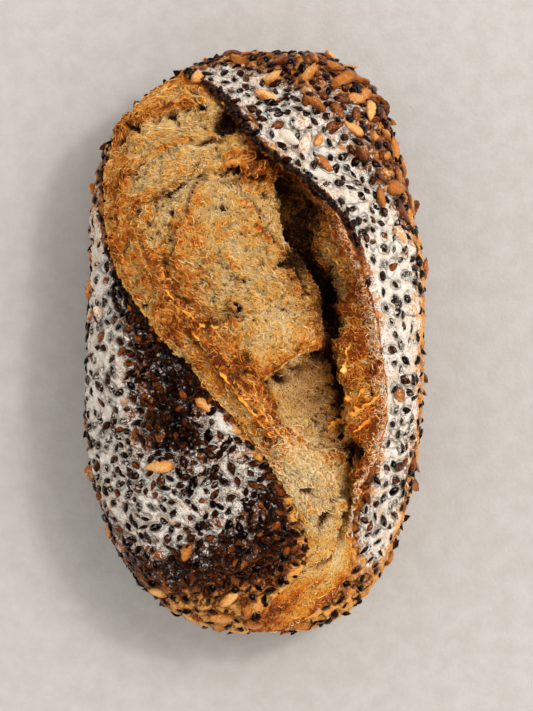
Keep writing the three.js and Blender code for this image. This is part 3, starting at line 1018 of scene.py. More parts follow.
@dataclass(frozen=True)
class CrustFinish:
    """Baked crust under flour: golden where it is bare, brown to black where it is baked hardest, painted dark
    round each seed.
    """

    golden: tuple = srgb(238, 164, 76)
    brown: tuple = srgb(136, 66, 10)
    dark: tuple = srgb(28, 9, 1)
    flour: tuple = srgb(236, 229, 217)
    dull: tuple = srgb(204, 182, 154)
    # Painted shade: the ring round each seed where it sits in the crust.
    outline: tuple = srgb(24, 9, 2)
    grain_length: float = 1.2
    patch_length: float = 6
    dusting_length: float = 2.6
    speck_length: float = 0.9
    fine_length: float = 0.6
    depth: float = 1.2
    shine: float = 0.3

    def make(self, name: str) -> Material:
        """Builds the material; it reads three point attributes: how baked and shaded the crust is, its flour,
        and the ring of painted shade round each seed.
        """
        g = Finish(name)
        bake_and_shade, flour, gap = g.attribute("bake_and_shade"), g.attribute("flour"), g.attribute("gap")
        grain = g.noise(self.grain_length, 4, 0.64, 1.6)
        patches = g.noise(self.patch_length, 3, 0.6, 0.8)
        # The ring round each seed also darkens the crust's own ramp: painted shade.
        level = (bake_and_shade + patches.swing(0.9) + grain.swing(1.6) + gap * 0.3).held()
        colour = g.ramp(level, (0.0, self.golden), (0.45, self.brown), (0.9, self.dark))
        dusting = g.noise(self.dusting_length, 4, 0.68, 1.8)
        specks = (0.45 - g.noise(self.speck_length, 3, 0.7, 0.8)).between(0.0, 0.07) * 0.5
        dusted = flour + dusting.swing(2.1) + patches.swing(0.8) + grain.swing(0.9) - specks
        cover = dusted.between(0.28, 0.57)
        # The flour is duller where the fine grain is low, a painted shade, and in slow patches.
        white = g.mix((grain * 0.6 + patches * 0.6).between(0.42, 0.72), self.dull, self.flour)
        colour = g.mix(cover * 0.96, colour, white)
        # Painted shade round each seed, over the flour.
        colour = g.mix(gap.between(0.35, 0.95) * 0.6, colour, self.outline)
        fine = grain * 0.5 + g.noise(self.fine_length, 3, 0.6) * 0.25 + dusting * 0.25
        return g.done(
            Base_Color=colour,
            Roughness=(0.3 + 0.55 * cover + 0.25 * (grain - 0.5)).held(),
            Normal=g.bump(fine, self.depth),
            Specular_IOR_Level=self.shine,
        )


@dataclass(frozen=True)
class SeedFinish:
    """A glossy seed or burnt crumb from dark to light, with flour that runs on from the crust."""

    dark: tuple
    middle: tuple
    light: tuple
    gloss: float
    relief: float
    covered: float
    edging: float = 0.3
    mottle: float = 1.2
    flour: tuple = srgb(224, 212, 194)
    grain_length: float = 1.1
    dusting_length: float = 2.4
    shine: float = 0.3

    def make(self, name: str) -> Material:
        """Builds the material; it reads the attributes tone, rim and flour."""
        g = Finish(name)
        tone, rim, flour = g.attribute("tone"), g.attribute("rim"), g.attribute("flour")
        grain = g.noise(self.grain_length, 4, 0.62, 1.0)
        level = (tone + grain.swing(self.mottle) - rim * self.edging).held()
        colour = g.ramp(level, (0.0, self.dark), (0.5, self.middle), (1.0, self.light))
        dusting = g.noise(self.dusting_length, 4, 0.66, 1.6)
        cover = (flour * self.covered + dusting.swing(1.6) + grain.swing(0.9)).between(0.4, 0.75)
        colour = g.mix(cover * 0.9, colour, self.flour)
        return g.done(
            Base_Color=colour,
            Roughness=(self.gloss + 0.55 * cover + 0.3 * (grain - 0.5)).held(),
            Normal=g.bump(grain, self.relief),
            Specular_IOR_Level=self.shine,
        )


LINSEED = SeedFinish(srgb(5, 1, 0), srgb(46, 17, 3), srgb(146, 72, 20), 0.13, 0.12, 0.42, 0.6)
KERNEL = SeedFinish(srgb(84, 34, 5), srgb(182, 106, 38), srgb(230, 176, 106), 0.16, 0.3, 0.62, 0.5, 1.2)
BURNT = SeedFinish(srgb(8, 3, 1), srgb(34, 11, 2), srgb(120, 46, 10), 0.22, 0.3, 0.15)


@dataclass(frozen=True)
class FloorFinish:
    """A plain pale surface with a faint mottle."""

    light: tuple = srgb(187, 182, 176)
    shade: tuple = srgb(179, 173, 166)
    mottle_length: float = 9
    grain_length: float = 1.5
    depth: float = 0.15
    rough: float = 0.9
    shine: float = 0.2

    def make(self, name: str) -> Material:
        """Builds the material."""
        g = Finish(name)
        mottle = g.noise(self.mottle_length, 5, 0.7)
        return g.done(
            Base_Color=g.mix(mottle.between(0.3, 0.7), self.shade, self.light),
            Roughness=self.rough,
            Specular_IOR_Level=self.shine,
            Normal=g.bump(g.noise(self.grain_length, 3), self.depth),
        )


# Fields over the loaf


@dataclass(frozen=True)
class Patch:
    """A soft oval region on the loaf seen from above, and how much it adds at its middle."""

    across: float
    along: float
    half_across: float
    half_along: float
    amount: float

    def at(self, points: Array) -> Array:
        """amount * exp(-(dx / half_across)^2 - (dy / half_along)^2)."""
        dx = (points[..., 0] - self.across) / self.half_across
        dy = (points[..., 1] - self.along) / self.half_along
        return self.amount * np.exp(-(dx**2) - dy**2)


def patched(points: Array, patches: tuple[Patch, ...]) -> Array:
    """The sum of the patches at each point."""
    return sum(patch.at(points) for patch in patches)


FLOUR = (
    Patch(-13, 107, 10, 7, 0.75),
    Patch(1, 98, 11, 8, 0.85),
    Patch(12, 85, 10, 11, 1.05),
    Patch(25, 71, 11, 12, 0.85),
    Patch(34, 92, 18, 13, 0.48),
    Patch(38, 58, 12, 13, 0.8),
    Patch(49, 40, 12, 16, 0.75),
    Patch(56, 8, 12, 34, 1.05),
    Patch(54, -32, 11, 18, 0.85),
    Patch(39, -54, 6, 12, -0.5),
    Patch(56, -62, 7, 16, 0.5),
    Patch(48, -82, 9, 14, 0.35),
    Patch(47, -70, 11, 16, 0.6),
    Patch(-66, 18, 12, 36, 1.1),
    Patch(-60, -32, 13, 34, 0.95),
    Patch(-44, -62, 18, 18, 0.6),
    Patch(-18, -58, 20, 12, 0.6),
    Patch(-30, -78, 26, 10, 0.45),
    Patch(-14, -32, 10, 12, 0.75),
    Patch(-26, -8, 5, 5, 0.6),
    Patch(0, -50, 13, 20, 0.28),
    Patch(-36, -6, 13, 18, 0.16),
)

BAKE = (
    Patch(-46, 12, 12, 18, 0.36),
    Patch(-32, -8, 12, 18, 0.4),
    Patch(-34, -32, 10, 16, 0.34),
    Patch(4, -78, 26, 10, 0.3),
    Patch(6, -58, 9, 18, 0.3),
    Patch(-28, -91, 24, 9, 0.4),
    Patch(-14, -46, 30, 26, 0.15),
    Patch(30, 96, 24, 14, -0.05),
    Patch(54, -76, 12, 24, -0.35),
    Patch(40, -54, 7, 12, 0.45),
    Patch(68, 0, 9, 90, -0.22),
    Patch(10, -112, 50, 11, -0.5),
    Patch(-66, 72, 10, 40, -0.15),
)

TOAST = (
    Patch(-30, 14, 14, 14, 0.34),
    Patch(-14, -4, 11, 13, 0.24),
    Patch(-2, -24, 7, 15, 0.12),
    Patch(-55, 56, 6, 34, 0.3),
    Patch(-13, 54, 12, 12, -0.16),
    Patch(39, 8, 7, 44, 0.16),
    Patch(1, 71, 13, 6, 0.4),
    Patch(-26, 40, 10, 14, 0.16),
    Patch(7, -50, 6, 14, 0.25),
    Patch(18, -56, 13, 18, -0.36),
    Patch(17, -18, 13, 16, -0.2),
    Patch(12, -90, 24, 9, -0.6),
    Patch(32, -80, 10, 12, -0.5),
    Patch(12, 32, 11, 24, -0.2),
    Patch(6, 10, 16, 22, -0.2),
    Patch(-12, 30, 15, 30, -0.18),
    Patch(-18, 86, 20, 12, -0.26),
    Patch(-38, 68, 20, 26, -0.3),
)

# Painted shade: patches that darken the crumb and the wall in the crevice, under the lifted lip, in the hollow
# and in pockets, where shade falls.
SHADE_PATCHES = (
    Patch(-6, 89, 9, 7, 0.75),
    Patch(-10, 84, 9, 5, 0.35),
    Patch(4, 80, 9, 5, 0.6),
    Patch(-8, 63, 9, 2.6, 0.5),
    Patch(13, 63, 13, 8, 0.55),
    Patch(24, 50, 7, 8, 0.36),
    Patch(28, 12, 6.2, 16, 1.2),
    Patch(12.5, 30.5, 3.5, 6, 0.5),
    Patch(20, 44, 9, 15, 0.58),
    Patch(17.5, 30, 6, 14, 0.66),
    Patch(18, 58, 9, 8, 0.2),
    Patch(25, -5, 6, 3, 0.35),
    Patch(10, -14.5, 4, 2, 0.42),
    Patch(18, -10, 4, 2, 0.36),
    Patch(33.5, -18, 2.6, 15, 0.6),
    Patch(-22, 86, 4, 10, 0.3),
    Patch(-34, 44, 4, 9, 0.1),
    Patch(40, -43, 4, 8, 0.7),
)

# How thickly threads lie where the slash is shut, and over the heel.
SHUT_THREADS = 0.15
HEEL_THREADS = Patch(14, -92, 34, 24, 0.35)


# Pieces


@dataclass
class Surface:
    """A dressed stretch of the loaf's skin: its grid, its normals and its numbers."""

    grid: Array
    normals: Array
    values: dict[str, Array]

    def areas(self) -> Array:
        """The area round each point: the length of the cross product of the grid's gradients."""
        steps = np.gradient(self.grid, axis=0), np.gradient(self.grid, axis=1)
        return np.linalg.norm(np.cross(*steps), axis=-1)

    def sample(self, values: Array, station: Array, column: Array) -> Array:
        """Values of the grid at places between its points, by bilinear steps."""
        i = np.clip(np.floor(station).astype(int), 0, self.grid.shape[0] - 2)
        j = np.clip(np.floor(column).astype(int), 0, self.grid.shape[1] - 2)
        extra = (1,) * (values.ndim - 2)
        a = np.clip(station - i, 0, 1).reshape(station.shape + extra)
        b = np.clip(column - j, 0, 1).reshape(column.shape + extra)
        low = values[i, j] * (1 - b) + values[i, j + 1] * b
        high = values[i + 1, j] * (1 - b) + values[i + 1, j + 1] * b
        return low * (1 - a) + high * a


@dataclass(frozen=True)
class Hole:
    """A burst bubble in the crumb: its place across and along, its radius and how deep it goes."""

    across: float
    along: float
    radius: float
    depth: float

    def bowl(self, points: Array) -> Array:
        """1 in its middle and 0 outside it: exp(-(distance / radius)^4)."""
        away = np.hypot(points[..., 0] - self.across, points[..., 1] - self.along) / self.radius
        return np.exp(-(away**4))


@dataclass
class Skin:
    """One of the five pieces of the loaf's skin: a dressed grid that closes through the loaf's core."""

    sections: Sections
    noise: Noise
    name: str
    columns: int

    holes = ()

    def share(self) -> Array:
        """The share of the way across the piece at each point of a section."""
        return np.linspace(0, 1, self.columns)[None]

    def dig(self, points: Array, height: Array, deep: Array) -> tuple[Array, Array]:
        """Sinks the piece's burst bubbles into its relief.

        Args:
            points: The piece's points, bent as its relief is.
            height: The relief so far.
            deep: How deep in a pore each point is, from 0 to 1.

        Returns:
            The height less each hole's depth times its bowl, and the deepest of deep and the bowls.
        """
        for hole in self.holes:
            bowl = hole.bowl(points)
            height = height - hole.depth * bowl
            deep = np.maximum(deep, bowl)
        return height, deep

    def enclose(
        self, grid: Array, values: dict[str, Array], inside: tuple[str, ...], material: Material
    ) -> Object:
        """Closes each section of the grid through points inside the loaf, and makes the piece.

        Args:
            grid: The grid that shows.
            values: Numbers for each point of it, by name; they are 0 inside.
            inside: The core's lines, in the order that closes the ring.
            material: The piece's finish.

        Returns:
            The object.
        """
        core = self.sections.inner()
        rings = np.concatenate([grid, *(core[name] for name in inside)], 1)
        blank = np.zeros((len(grid), len(inside)))
        filled = {key: np.append(np.concatenate([value, blank], 1), [0, 0]) for key, value in values.items()}
        shell = closed_shell(rings, self.sections.pole(-1), self.sections.pole(1))
        return shell.to_object(self.name, filled, material)


@dataclass
class Crumb(Skin):
    """The torn crumb between the crevice and the left-hand crust."""

    name: str = "torn_crumb"
    columns: int = 200
    holes: tuple[Hole, ...] = (
        Hole(-23, 93, 2.2, 5),
        Hole(-24, 99, 1.8, 4),
        Hole(-12, 86, 4, 3.5),
        Hole(-52, 76, 1.8, 3),
        Hole(-47, 86, 2.2, 2.5),
        Hole(-34, 89, 2.6, 2.5),
        Hole(-57, 51, 1.6, 2.5),
        Hole(2, 58, 1.8, 3.5),
        Hole(-32, 50, 1.6, 2),
        Hole(-36, 43, 1.3, 1.6),
        Hole(9, -14.5, 2.6, 4.2),
        Hole(14.5, -11, 2.4, 4),
        Hole(4, -17, 1.6, 2),
        Hole(22, -4, 2.4, 2.5),
        Hole(21, -60, 3, 4),
        Hole(27, -70, 3, 3),
        Hole(30, -62, 2.2, 4),
        Hole(12, 30, 1.4, 2.5),
        Hole(-2, 22, 1.2, 2),
    )
    grain_turn: float = 35
    stringy: Patch = Patch(-32, 78, 34, 26, 1)
    frilly: Patch = Patch(0, 70, 12, 7, 1.8)
    # The hollow, which is smoothed and given an even painted shade, and two patches where the painted shade is
    # eased.
    hollow: Patch = Patch(17, -20, 12, 15, 0.8)
    less_shade: tuple[Patch, ...] = (Patch(-34, 78, 28, 28, 0.24), Patch(16, -54, 14, 18, 0.5))
    across: Patch = Patch(-30, 78, 40, 40, 1)
    bare: Patch = Patch(17, -20, 13, 17, 1.0)
    streaky: Patch = Patch(-36, 80, 26, 26, 1)
    frizzy: Patch = Patch(14, -52, 13, 14, 1.2)

    def grained(self, p: Array, stretch: float) -> Array:
        """The points, drawn together along the crumb's grain, so noise on them is pulled out by stretch."""
        turn = math.radians(self.grain_turn)
        onward = (p[..., 0] * math.cos(turn) + p[..., 1] * math.sin(turn)) / stretch
        sideways = p[..., 1] * math.cos(turn) - p[..., 0] * math.sin(turn)
        return np.stack([onward, sideways, p[..., 2]], -1)

    def layers(self, p: Array) -> tuple[Array, Array, Array]:
        """Thin torn layers that overlap like shingles: stairs of slow noise, steep at their brows.

        Args:
            p: Points of the smooth crumb.

        Returns:
            The height, how near each point is to a brow, and how far into the slit under one, from 0 to 1.
        """
        noise = self.noise
        bent = noise.warp(noise.warp(p, 9, 2.4), 2.8, 0.9)
        rise = 1.5 * noise.fractal(self.grained(bent, 2.2) + 150, 10, 2)
        part = rise - np.floor(rise)
        shown = smoothstep(noise.plain(p + 190, 10), -0.4, 0.3)
        height = smoothstep(part, 0, 0.18) - part
        brow = smoothstep(part, 0.06, 0.18) * (1 - smoothstep(part, 0.2, 0.5))
        slit = np.maximum(smoothstep(part, 0.8, 0.96), 1 - smoothstep(part, 0, 0.08))
        return height * shown, brow * shown, slit * shown

    def relief(self, p: Array) -> tuple[Array, Array]:
        """The crumb's own relief: crags, knots, pulled threads and burst bubbles.

        Args:
            p: Points of the smooth crumb.

        Returns:
            The height along the normal, and how deep in a bubble each point is, from 0 to 1.
        """
        noise = self.noise
        bent = noise.warp(p, 11, 3.5)
        stringy = 1 + self.stringy.at(p)
        crags = 1.2 * noise.fractal(bent, 13, 3)
        knots = 1.7 * noise.ridged(bent + 40, 6) / stringy
        pulled = 1.0 * stringy * noise.ridged(self.grained(bent, 3), 2.8)
        frayed = 0.7 * noise.ridged(noise.warp(p, 2.6, 1.4), 1.9)
        gap, number = noise.cells(noise.warp(p + 90, 4, 2.2), 5.2)
        bubble = smoothstep(0.36 - gap, 0, 0.2) * (number > 0.8)
        frilly = 1 + self.frilly.at(p)
        height = (crags + knots) * frilly + 1.2 * (pulled + frayed) - 1.8 * bubble
        height = height + sum(fold.relief(bent[..., 0], bent[..., 1]) for fold in FOLDS)
        pore, size = noise.cells(noise.warp(p + 130, 2.4, 0.9), 1.9)
        pores = smoothstep(0.42 - pore, 0, 0.22) * (size > 0.62)
        return self.dig(bent, height - 0.8 * pores, np.maximum(bubble * 0.9, pores * 0.7))

    def edges(self, p: Array) -> tuple[Array, Array]:
        """Where the torn edges are.

        Args:
            p: Points of the smooth crumb.

        Returns:
            How near each point is to the top of an edge, and how far into the gap below one, from 0 to 1.
        """
        bent = self.noise.warp(self.noise.warp(p, 9, 1.6), 3, 0.8)
        crest, gap = np.zeros(p.shape[:2]), np.zeros(p.shape[:2])
        for tear in TEARS + FOLDS:
            distance, fade = tear.distance(bent[..., 0], bent[..., 1])
            fade = fade**2 * min(1, 0.3 + tear.high / 3)
            rim = fade * np.exp(-np.maximum(distance, 0) / 1.8) * smoothstep(distance, -1, 0)
            crest = np.maximum(crest, rim)
            into = smoothstep(-distance, 0, 0.9) * (1 - smoothstep(-distance, 1.6, 2.2 + tear.high))
            gap = np.maximum(gap, fade * into)
        return crest, gap * (0.3 + 0.7 * smoothstep(self.noise.plain(p + 77, 7), -0.4, 0.4))

    def dress(self) -> Surface:
        """Works out the crumb's surface and what its finish reads: its toast and its painted shade."""
        sections = self.sections
        smooth = resample(sections.slash_curve(2, 7), self.columns)
        normals = normals_of(smooth)
        height, deep = self.relief(smooth)
        hollow = self.hollow.at(smooth)
        strength = eased(self.share(), 0.02, 0.03) * (0.35 + 0.65 * sections.open[:, None]) * (1 - hollow)
        crest, gap = self.edges(smooth)
        layer, brow, slit = self.layers(smooth)
        height = height + crest * (0.7 + 1.2 * self.noise.plain(smooth + 44, 2.4)) - 1.5 * gap + 1.5 * layer
        grid = smooth + normals * (height * strength)[..., None]
        below = sections.form.dome(smooth[..., 0], smooth[..., 1]) - smooth[..., 2]
        sunk = smoothstep(below, 12, 27)
        shut = 1 - sections.open[:, None]
        region = patched(smooth, TOAST)
        toast = 0.28 + 0.45 * shut + 0.17 * height * strength + 0.28 * crest + region - 0.2 * sunk
        toast = toast + brow * np.clip(0.08 + region, 0, 0.3)
        # Painted shade: in the bubbles and pores, less on steep sides, deep below the dome, in the low relief,
        # in the gaps under torn edges and the slits under layers, and evenly over the hollow; eased on the
        # layers' brows and in the patches where it is eased, and added in the shade patches.
        low = smoothstep(-height * strength, 0.6, 2.4)
        deep = deep * (0.25 + 0.75 * smoothstep(normals[..., 2], 0.1, 0.5))
        painted_shade = 0.9 * deep * strength + 0.85 * sunk + 0.6 * low + 0.85 * gap
        painted_shade = (painted_shade + 0.5 * slit * strength - 0.15 * brow) * (1 - 0.7 * hollow) + 0.4 * hollow
        painted_shade = np.clip(painted_shade - patched(smooth, self.less_shade) + patched(smooth, SHADE_PATCHES), 0, 1)
        return Surface(grid, normals_of(grid), {"toast": toast, "painted_shade": painted_shade})

    def flow(self, p: Array) -> Array:
        """Which way the crumb's threads run at each point, in radians from +Y towards the left."""
        across = self.across.at(p)
        swirl = self.noise.plain(p + 210, 16) * (1 - 0.7 * across)
        return np.radians(-55 * across - 20 + 110 * swirl)

    def thickness(self, p: Array) -> dict[str, Array]:
        """How thick each piece of threads lies at each point of the dressed crumb."""
        over = (self.sections.open[:, None] + SHUT_THREADS + HEEL_THREADS.at(p)) * (1 - self.bare.at(p))
        clumped = smoothstep(self.noise.plain(p + 500, 7), -0.5, 0.5)
        streaky, frizzy = self.streaky.at(p), self.frizzy.at(p)
        return {
            "crumb_threads": over * (0.35 + clumped),
            "crumb_curls": over * (1 - 0.85 * streaky) * (0.15 + clumped + frizzy),
            "crumb_strands": over * (0.06 + streaky),
            "frizzled_curls": over * frizzy,
        }

    def build(self, surface: Surface) -> Object:
        """Makes the piece."""
        return self.enclose(surface.grid, surface.values, ("left", "middle"), GROUND.make(self.name))


@dataclass
class BakedWall(Skin):
    """The wall under the lifted lip, from the lip down to the bottom of the crevice."""

    name: str = "baked_wall"
    columns: int = 110
    holes: tuple[Hole, ...] = (Hole(40, -43, 4, 5), Hole(38, -52, 2.6, 3), Hole(30, 20, 3, 4))
    squeeze: tuple[float, float, float] = (0.6, 1, 0.6)
    lip_share: float = 0.12

    def dress(self) -> Surface:
        """Works out the wall's surface: a toasted sponge at the lip, then torn crumb from its shoulder."""
        sections, noise = self.sections, self.noise
        smooth = resample(sections.slash_curve(0, 2), self.columns)
        shoulder = sections.line[Column.WALL][:, None]
        ledge = smoothstep(smooth[..., 0], shoulder - 1.5, shoulder + 3)
        bent = noise.warp(smooth, 9, 3)
        pit, _ = noise.cells(noise.warp(smooth + 50, 4, 1.6), 2.7)
        sponge = smoothstep(0.5 - pit, 0, 0.3) * (0.35 + 0.65 * ledge)
        squeezed = bent * np.array(self.squeeze)
        height = 1.7 * noise.fractal(bent + 15, 9, 3) + 2.0 * noise.ridged(squeezed, 4.4)
        height = height + 0.8 * noise.ridged(noise.warp(smooth, 3, 1.4), 1.9) - 1.3 * sponge
        height, deep = self.dig(bent, height, sponge * 0.45)
        share = self.share()
        strength = eased(share, 0.05, 0.05) * (0.1 + 0.9 * sections.open[:, None])
        grid = smooth + normals_of(smooth) * (height * strength)[..., None]
        below = sections.form.dome(smooth[..., 0], smooth[..., 1]) - smooth[..., 2]
        charred = smoothstep(0.26 - share, 0, 0.16) * smoothstep(smooth[..., 1], 20, 50)
        shut = 1 - sections.open[:, None]
        toast = 0.5 + 0.26 * ledge + 0.2 * shut + 0.26 * height * strength + 0.4 * charred
        toast = toast + 0.14 * smoothstep(0.4 - share, 0, 0.25) + patched(smooth, TOAST)
        # Painted shade: deep below the dome, in the low relief, in the sponge's pits and holes, and in the
        # shade patches.
        low = smoothstep(-height * strength, 0.6, 2.4)
        painted_shade = 0.75 * smoothstep(below, 12, 24) + 0.45 * low + deep * strength + patched(smooth, SHADE_PATCHES)
        return Surface(grid, normals_of(grid), {"toast": toast, "painted_shade": np.clip(painted_shade, 0, 1)})

    def flow(self, p: Array) -> Array:
        """Which way the wall's threads run: down it, with a swirl."""
        return np.radians(70 + 100 * self.noise.plain(p + 260, 14))

    def thickness(self, p: Array) -> dict[str, Array]:
        """How thick each piece of threads lies at each point of the dressed wall."""
        open_share = self.sections.open[:, None] + SHUT_THREADS
        over = open_share + HEEL_THREADS.at(p)
        at_lip = np.exp(-((self.share() / self.lip_share) ** 2)) * open_share
        return {
            "wall_threads": over,
            "wall_curls": over,
            "lip_curls": at_lip * (1 - smoothstep(p[..., 1], 40, 70)),
        }

    def build(self, surface: Surface) -> Object:
        """Makes the piece."""
        return self.enclose(surface.grid, surface.values, ("middle", "right"), WALL.make(self.name))


@dataclass
class Crust(Skin):
    """The baked crust on one side of the slash, which keeps its flour above a height."""

    side: Side
    floured_above: float
    flour_fade: float = 16
    neighbours: int = 3
    bank: float = 0.8
    shade_ring_at: float = 1.05
    shade_ring_width: float = 0.24

    def rim(self) -> Array:
        """1 over the crust and 0 at its foot and at the slash."""
        share = self.share() if self.side is Side.RIGHT else 1 - self.share()
        return eased(share, 0.03, 0.02)

    def dress(self) -> Surface:
        """Works out the crust's surface, blistered and wrinkled, where it is baked and floured, and its painted
        shade.
        """
        noise, right = self.noise, self.side is Side.RIGHT
        smooth = self.sections.crust(self.side, self.columns)
        bent = noise.warp(smooth, 8, 2.5)
        height = 0.7 * noise.fractal(bent + 70, 8, 3) + 0.7 * noise.ridged(bent, 3.4)
        height = height + 0.5 * noise.ridged(noise.warp(smooth + 20, 2.6, 1.2), 1.9)
        grid = smooth + normals_of(smooth) * (height * self.rim())[..., None]
        grid[..., 2] = np.maximum(grid[..., 2], 0)
        low = smoothstep(30 - smooth[..., 2], 0, 24)
        from_lip = np.linalg.norm(smooth - (smooth[:, -1:] if right else smooth[:, :1]), axis=-1)
        upper = smoothstep(smooth[..., 1], 20, 55) if right else 0.35
        fringe = smoothstep(4.5 - from_lip, 0, 2)
        kept = smoothstep(smooth[..., 2], self.floured_above - self.flour_fade, self.floured_above)
        flour = patched(smooth, FLOUR) * kept - 0.9 * fringe * (0.3 + 0.7 * upper)
        # The relief's hollows are darker and its rises lighter, painted shade and light; the rest is the
        # crust's own bake, charred along the lip.
        bake_and_shade = 0.4 + patched(smooth, BAKE) + 0.1 * low - 0.2 * height + 0.6 * fringe * upper
        if not right:
            bake_and_shade = bake_and_shade - 0.7 * (smoothstep(5.5 - from_lip, 0, 3) * smoothstep(-smooth[..., 1], 22, 40))
        return Surface(grid, normals_of(grid), {"flour": flour, "bake_and_shade": bake_and_shade, "gap": np.zeros_like(flour)})

    def bed(self, surface: Surface, seeds: list["Scattering"]) -> None:
        """Sinks the crust round each seed, raises it in between and marks the ring round each that painted
        shade darkens.

        Args:
            surface: The dressed crust, which is changed.
            seeds: The seeds that lie on it.
        """
        places = np.concatenate([s.places for s in seeds])
        frames = np.concatenate([s.frames for s in seeds])
        sizes = np.concatenate([s.sizes for s in seeds])
        tree = finder(places)
        points = surface.grid.reshape(-1, 3)
        found = np.array([[near[1] for near in tree.find_n(point, self.neighbours)] for point in points])
        away = points[:, None] - places[found]
        lengthwise = (away * frames[found, 0]).sum(-1) * 2 / sizes[found, 0]
        sideways = (away * frames[found, 1]).sum(-1) * 2 / sizes[found, 1]
        reach = np.hypot(lengthwise, sideways).min(1).reshape(surface.grid.shape[:2])
        raised = (smoothstep(reach, 1.0, 1.9) - 0.4) * self.bank * self.rim()
        surface.grid = surface.grid + surface.normals * raised[..., None]
        surface.grid[..., 2] = np.maximum(surface.grid[..., 2], 0)
        surface.normals = normals_of(surface.grid)
        # Painted shade: a ring round each seed, where it sits in the crust.
        surface.values["gap"] = np.exp(-(((reach - self.shade_ring_at) / self.shade_ring_width) ** 2))

    def build(self, surface: Surface, material: Material) -> Object:
        """Makes the piece."""
        inside = "right" if self.side is Side.RIGHT else "left"
        return self.enclose(surface.grid, surface.values, (inside,), material)


@dataclass
class Underside(Skin):
    """The flat baked underside, and the crust of its turned-up ends."""

    name: str = "underside"
    columns: int = 60
    flour: float = 0.18

    def build(self, material: Material) -> Object:
        """Makes the piece: straight across from foot to foot, with shallow dimples up into the loaf."""
        sections, noise = self.sections, self.noise
        left, right = (sections.form.foot(side, sections.along) for side in (Side.LEFT, Side.RIGHT))
        share = self.share()
        x = left[:, :1] + share * (right[:, :1] - left[:, :1])
        z = np.broadcast_to(left[:, 1:], x.shape)
        smooth = sections.place(x, z)
        rim = eased(share, 0.05, 0.05)
        dimple = 0.9 * smoothstep(noise.fractal(smooth + 11, 9, 3), 0.15, 0.7) * rim
        blank = np.zeros(x.shape)
        turned_up = smoothstep(z, 0.5, 7)
        grid = smooth + np.array([0, 0, 1]) * (dimple * (1 - turned_up))[..., None]
        bent = noise.warp(smooth, 8, 2.5)
        height = 0.9 * noise.fractal(bent + 70, 8, 3) + 1.2 * noise.ridged(bent, 3.4)
        outward = np.stack([blank, 0.7 * np.sign(smooth[..., 1]), blank - 0.7], -1)
        grid = grid + outward * (height * turned_up * rim)[..., None]
        grid[..., 2] = np.maximum(grid[..., 2], 0)
        # Lighter in the dimples and on the turned-up ends; lighter still on the ends' rises, which is painted
        # light.
        bake_and_shade = 0.55 - 0.3 * dimple - turned_up * (0.2 + 0.2 * height)
        values = {"flour": self.flour * (1 - turned_up), "bake_and_shade": bake_and_shade, "gap": blank}
        return self.enclose(grid, values, ("right", "middle", "left"), material)


# Threads and sheets of crumb


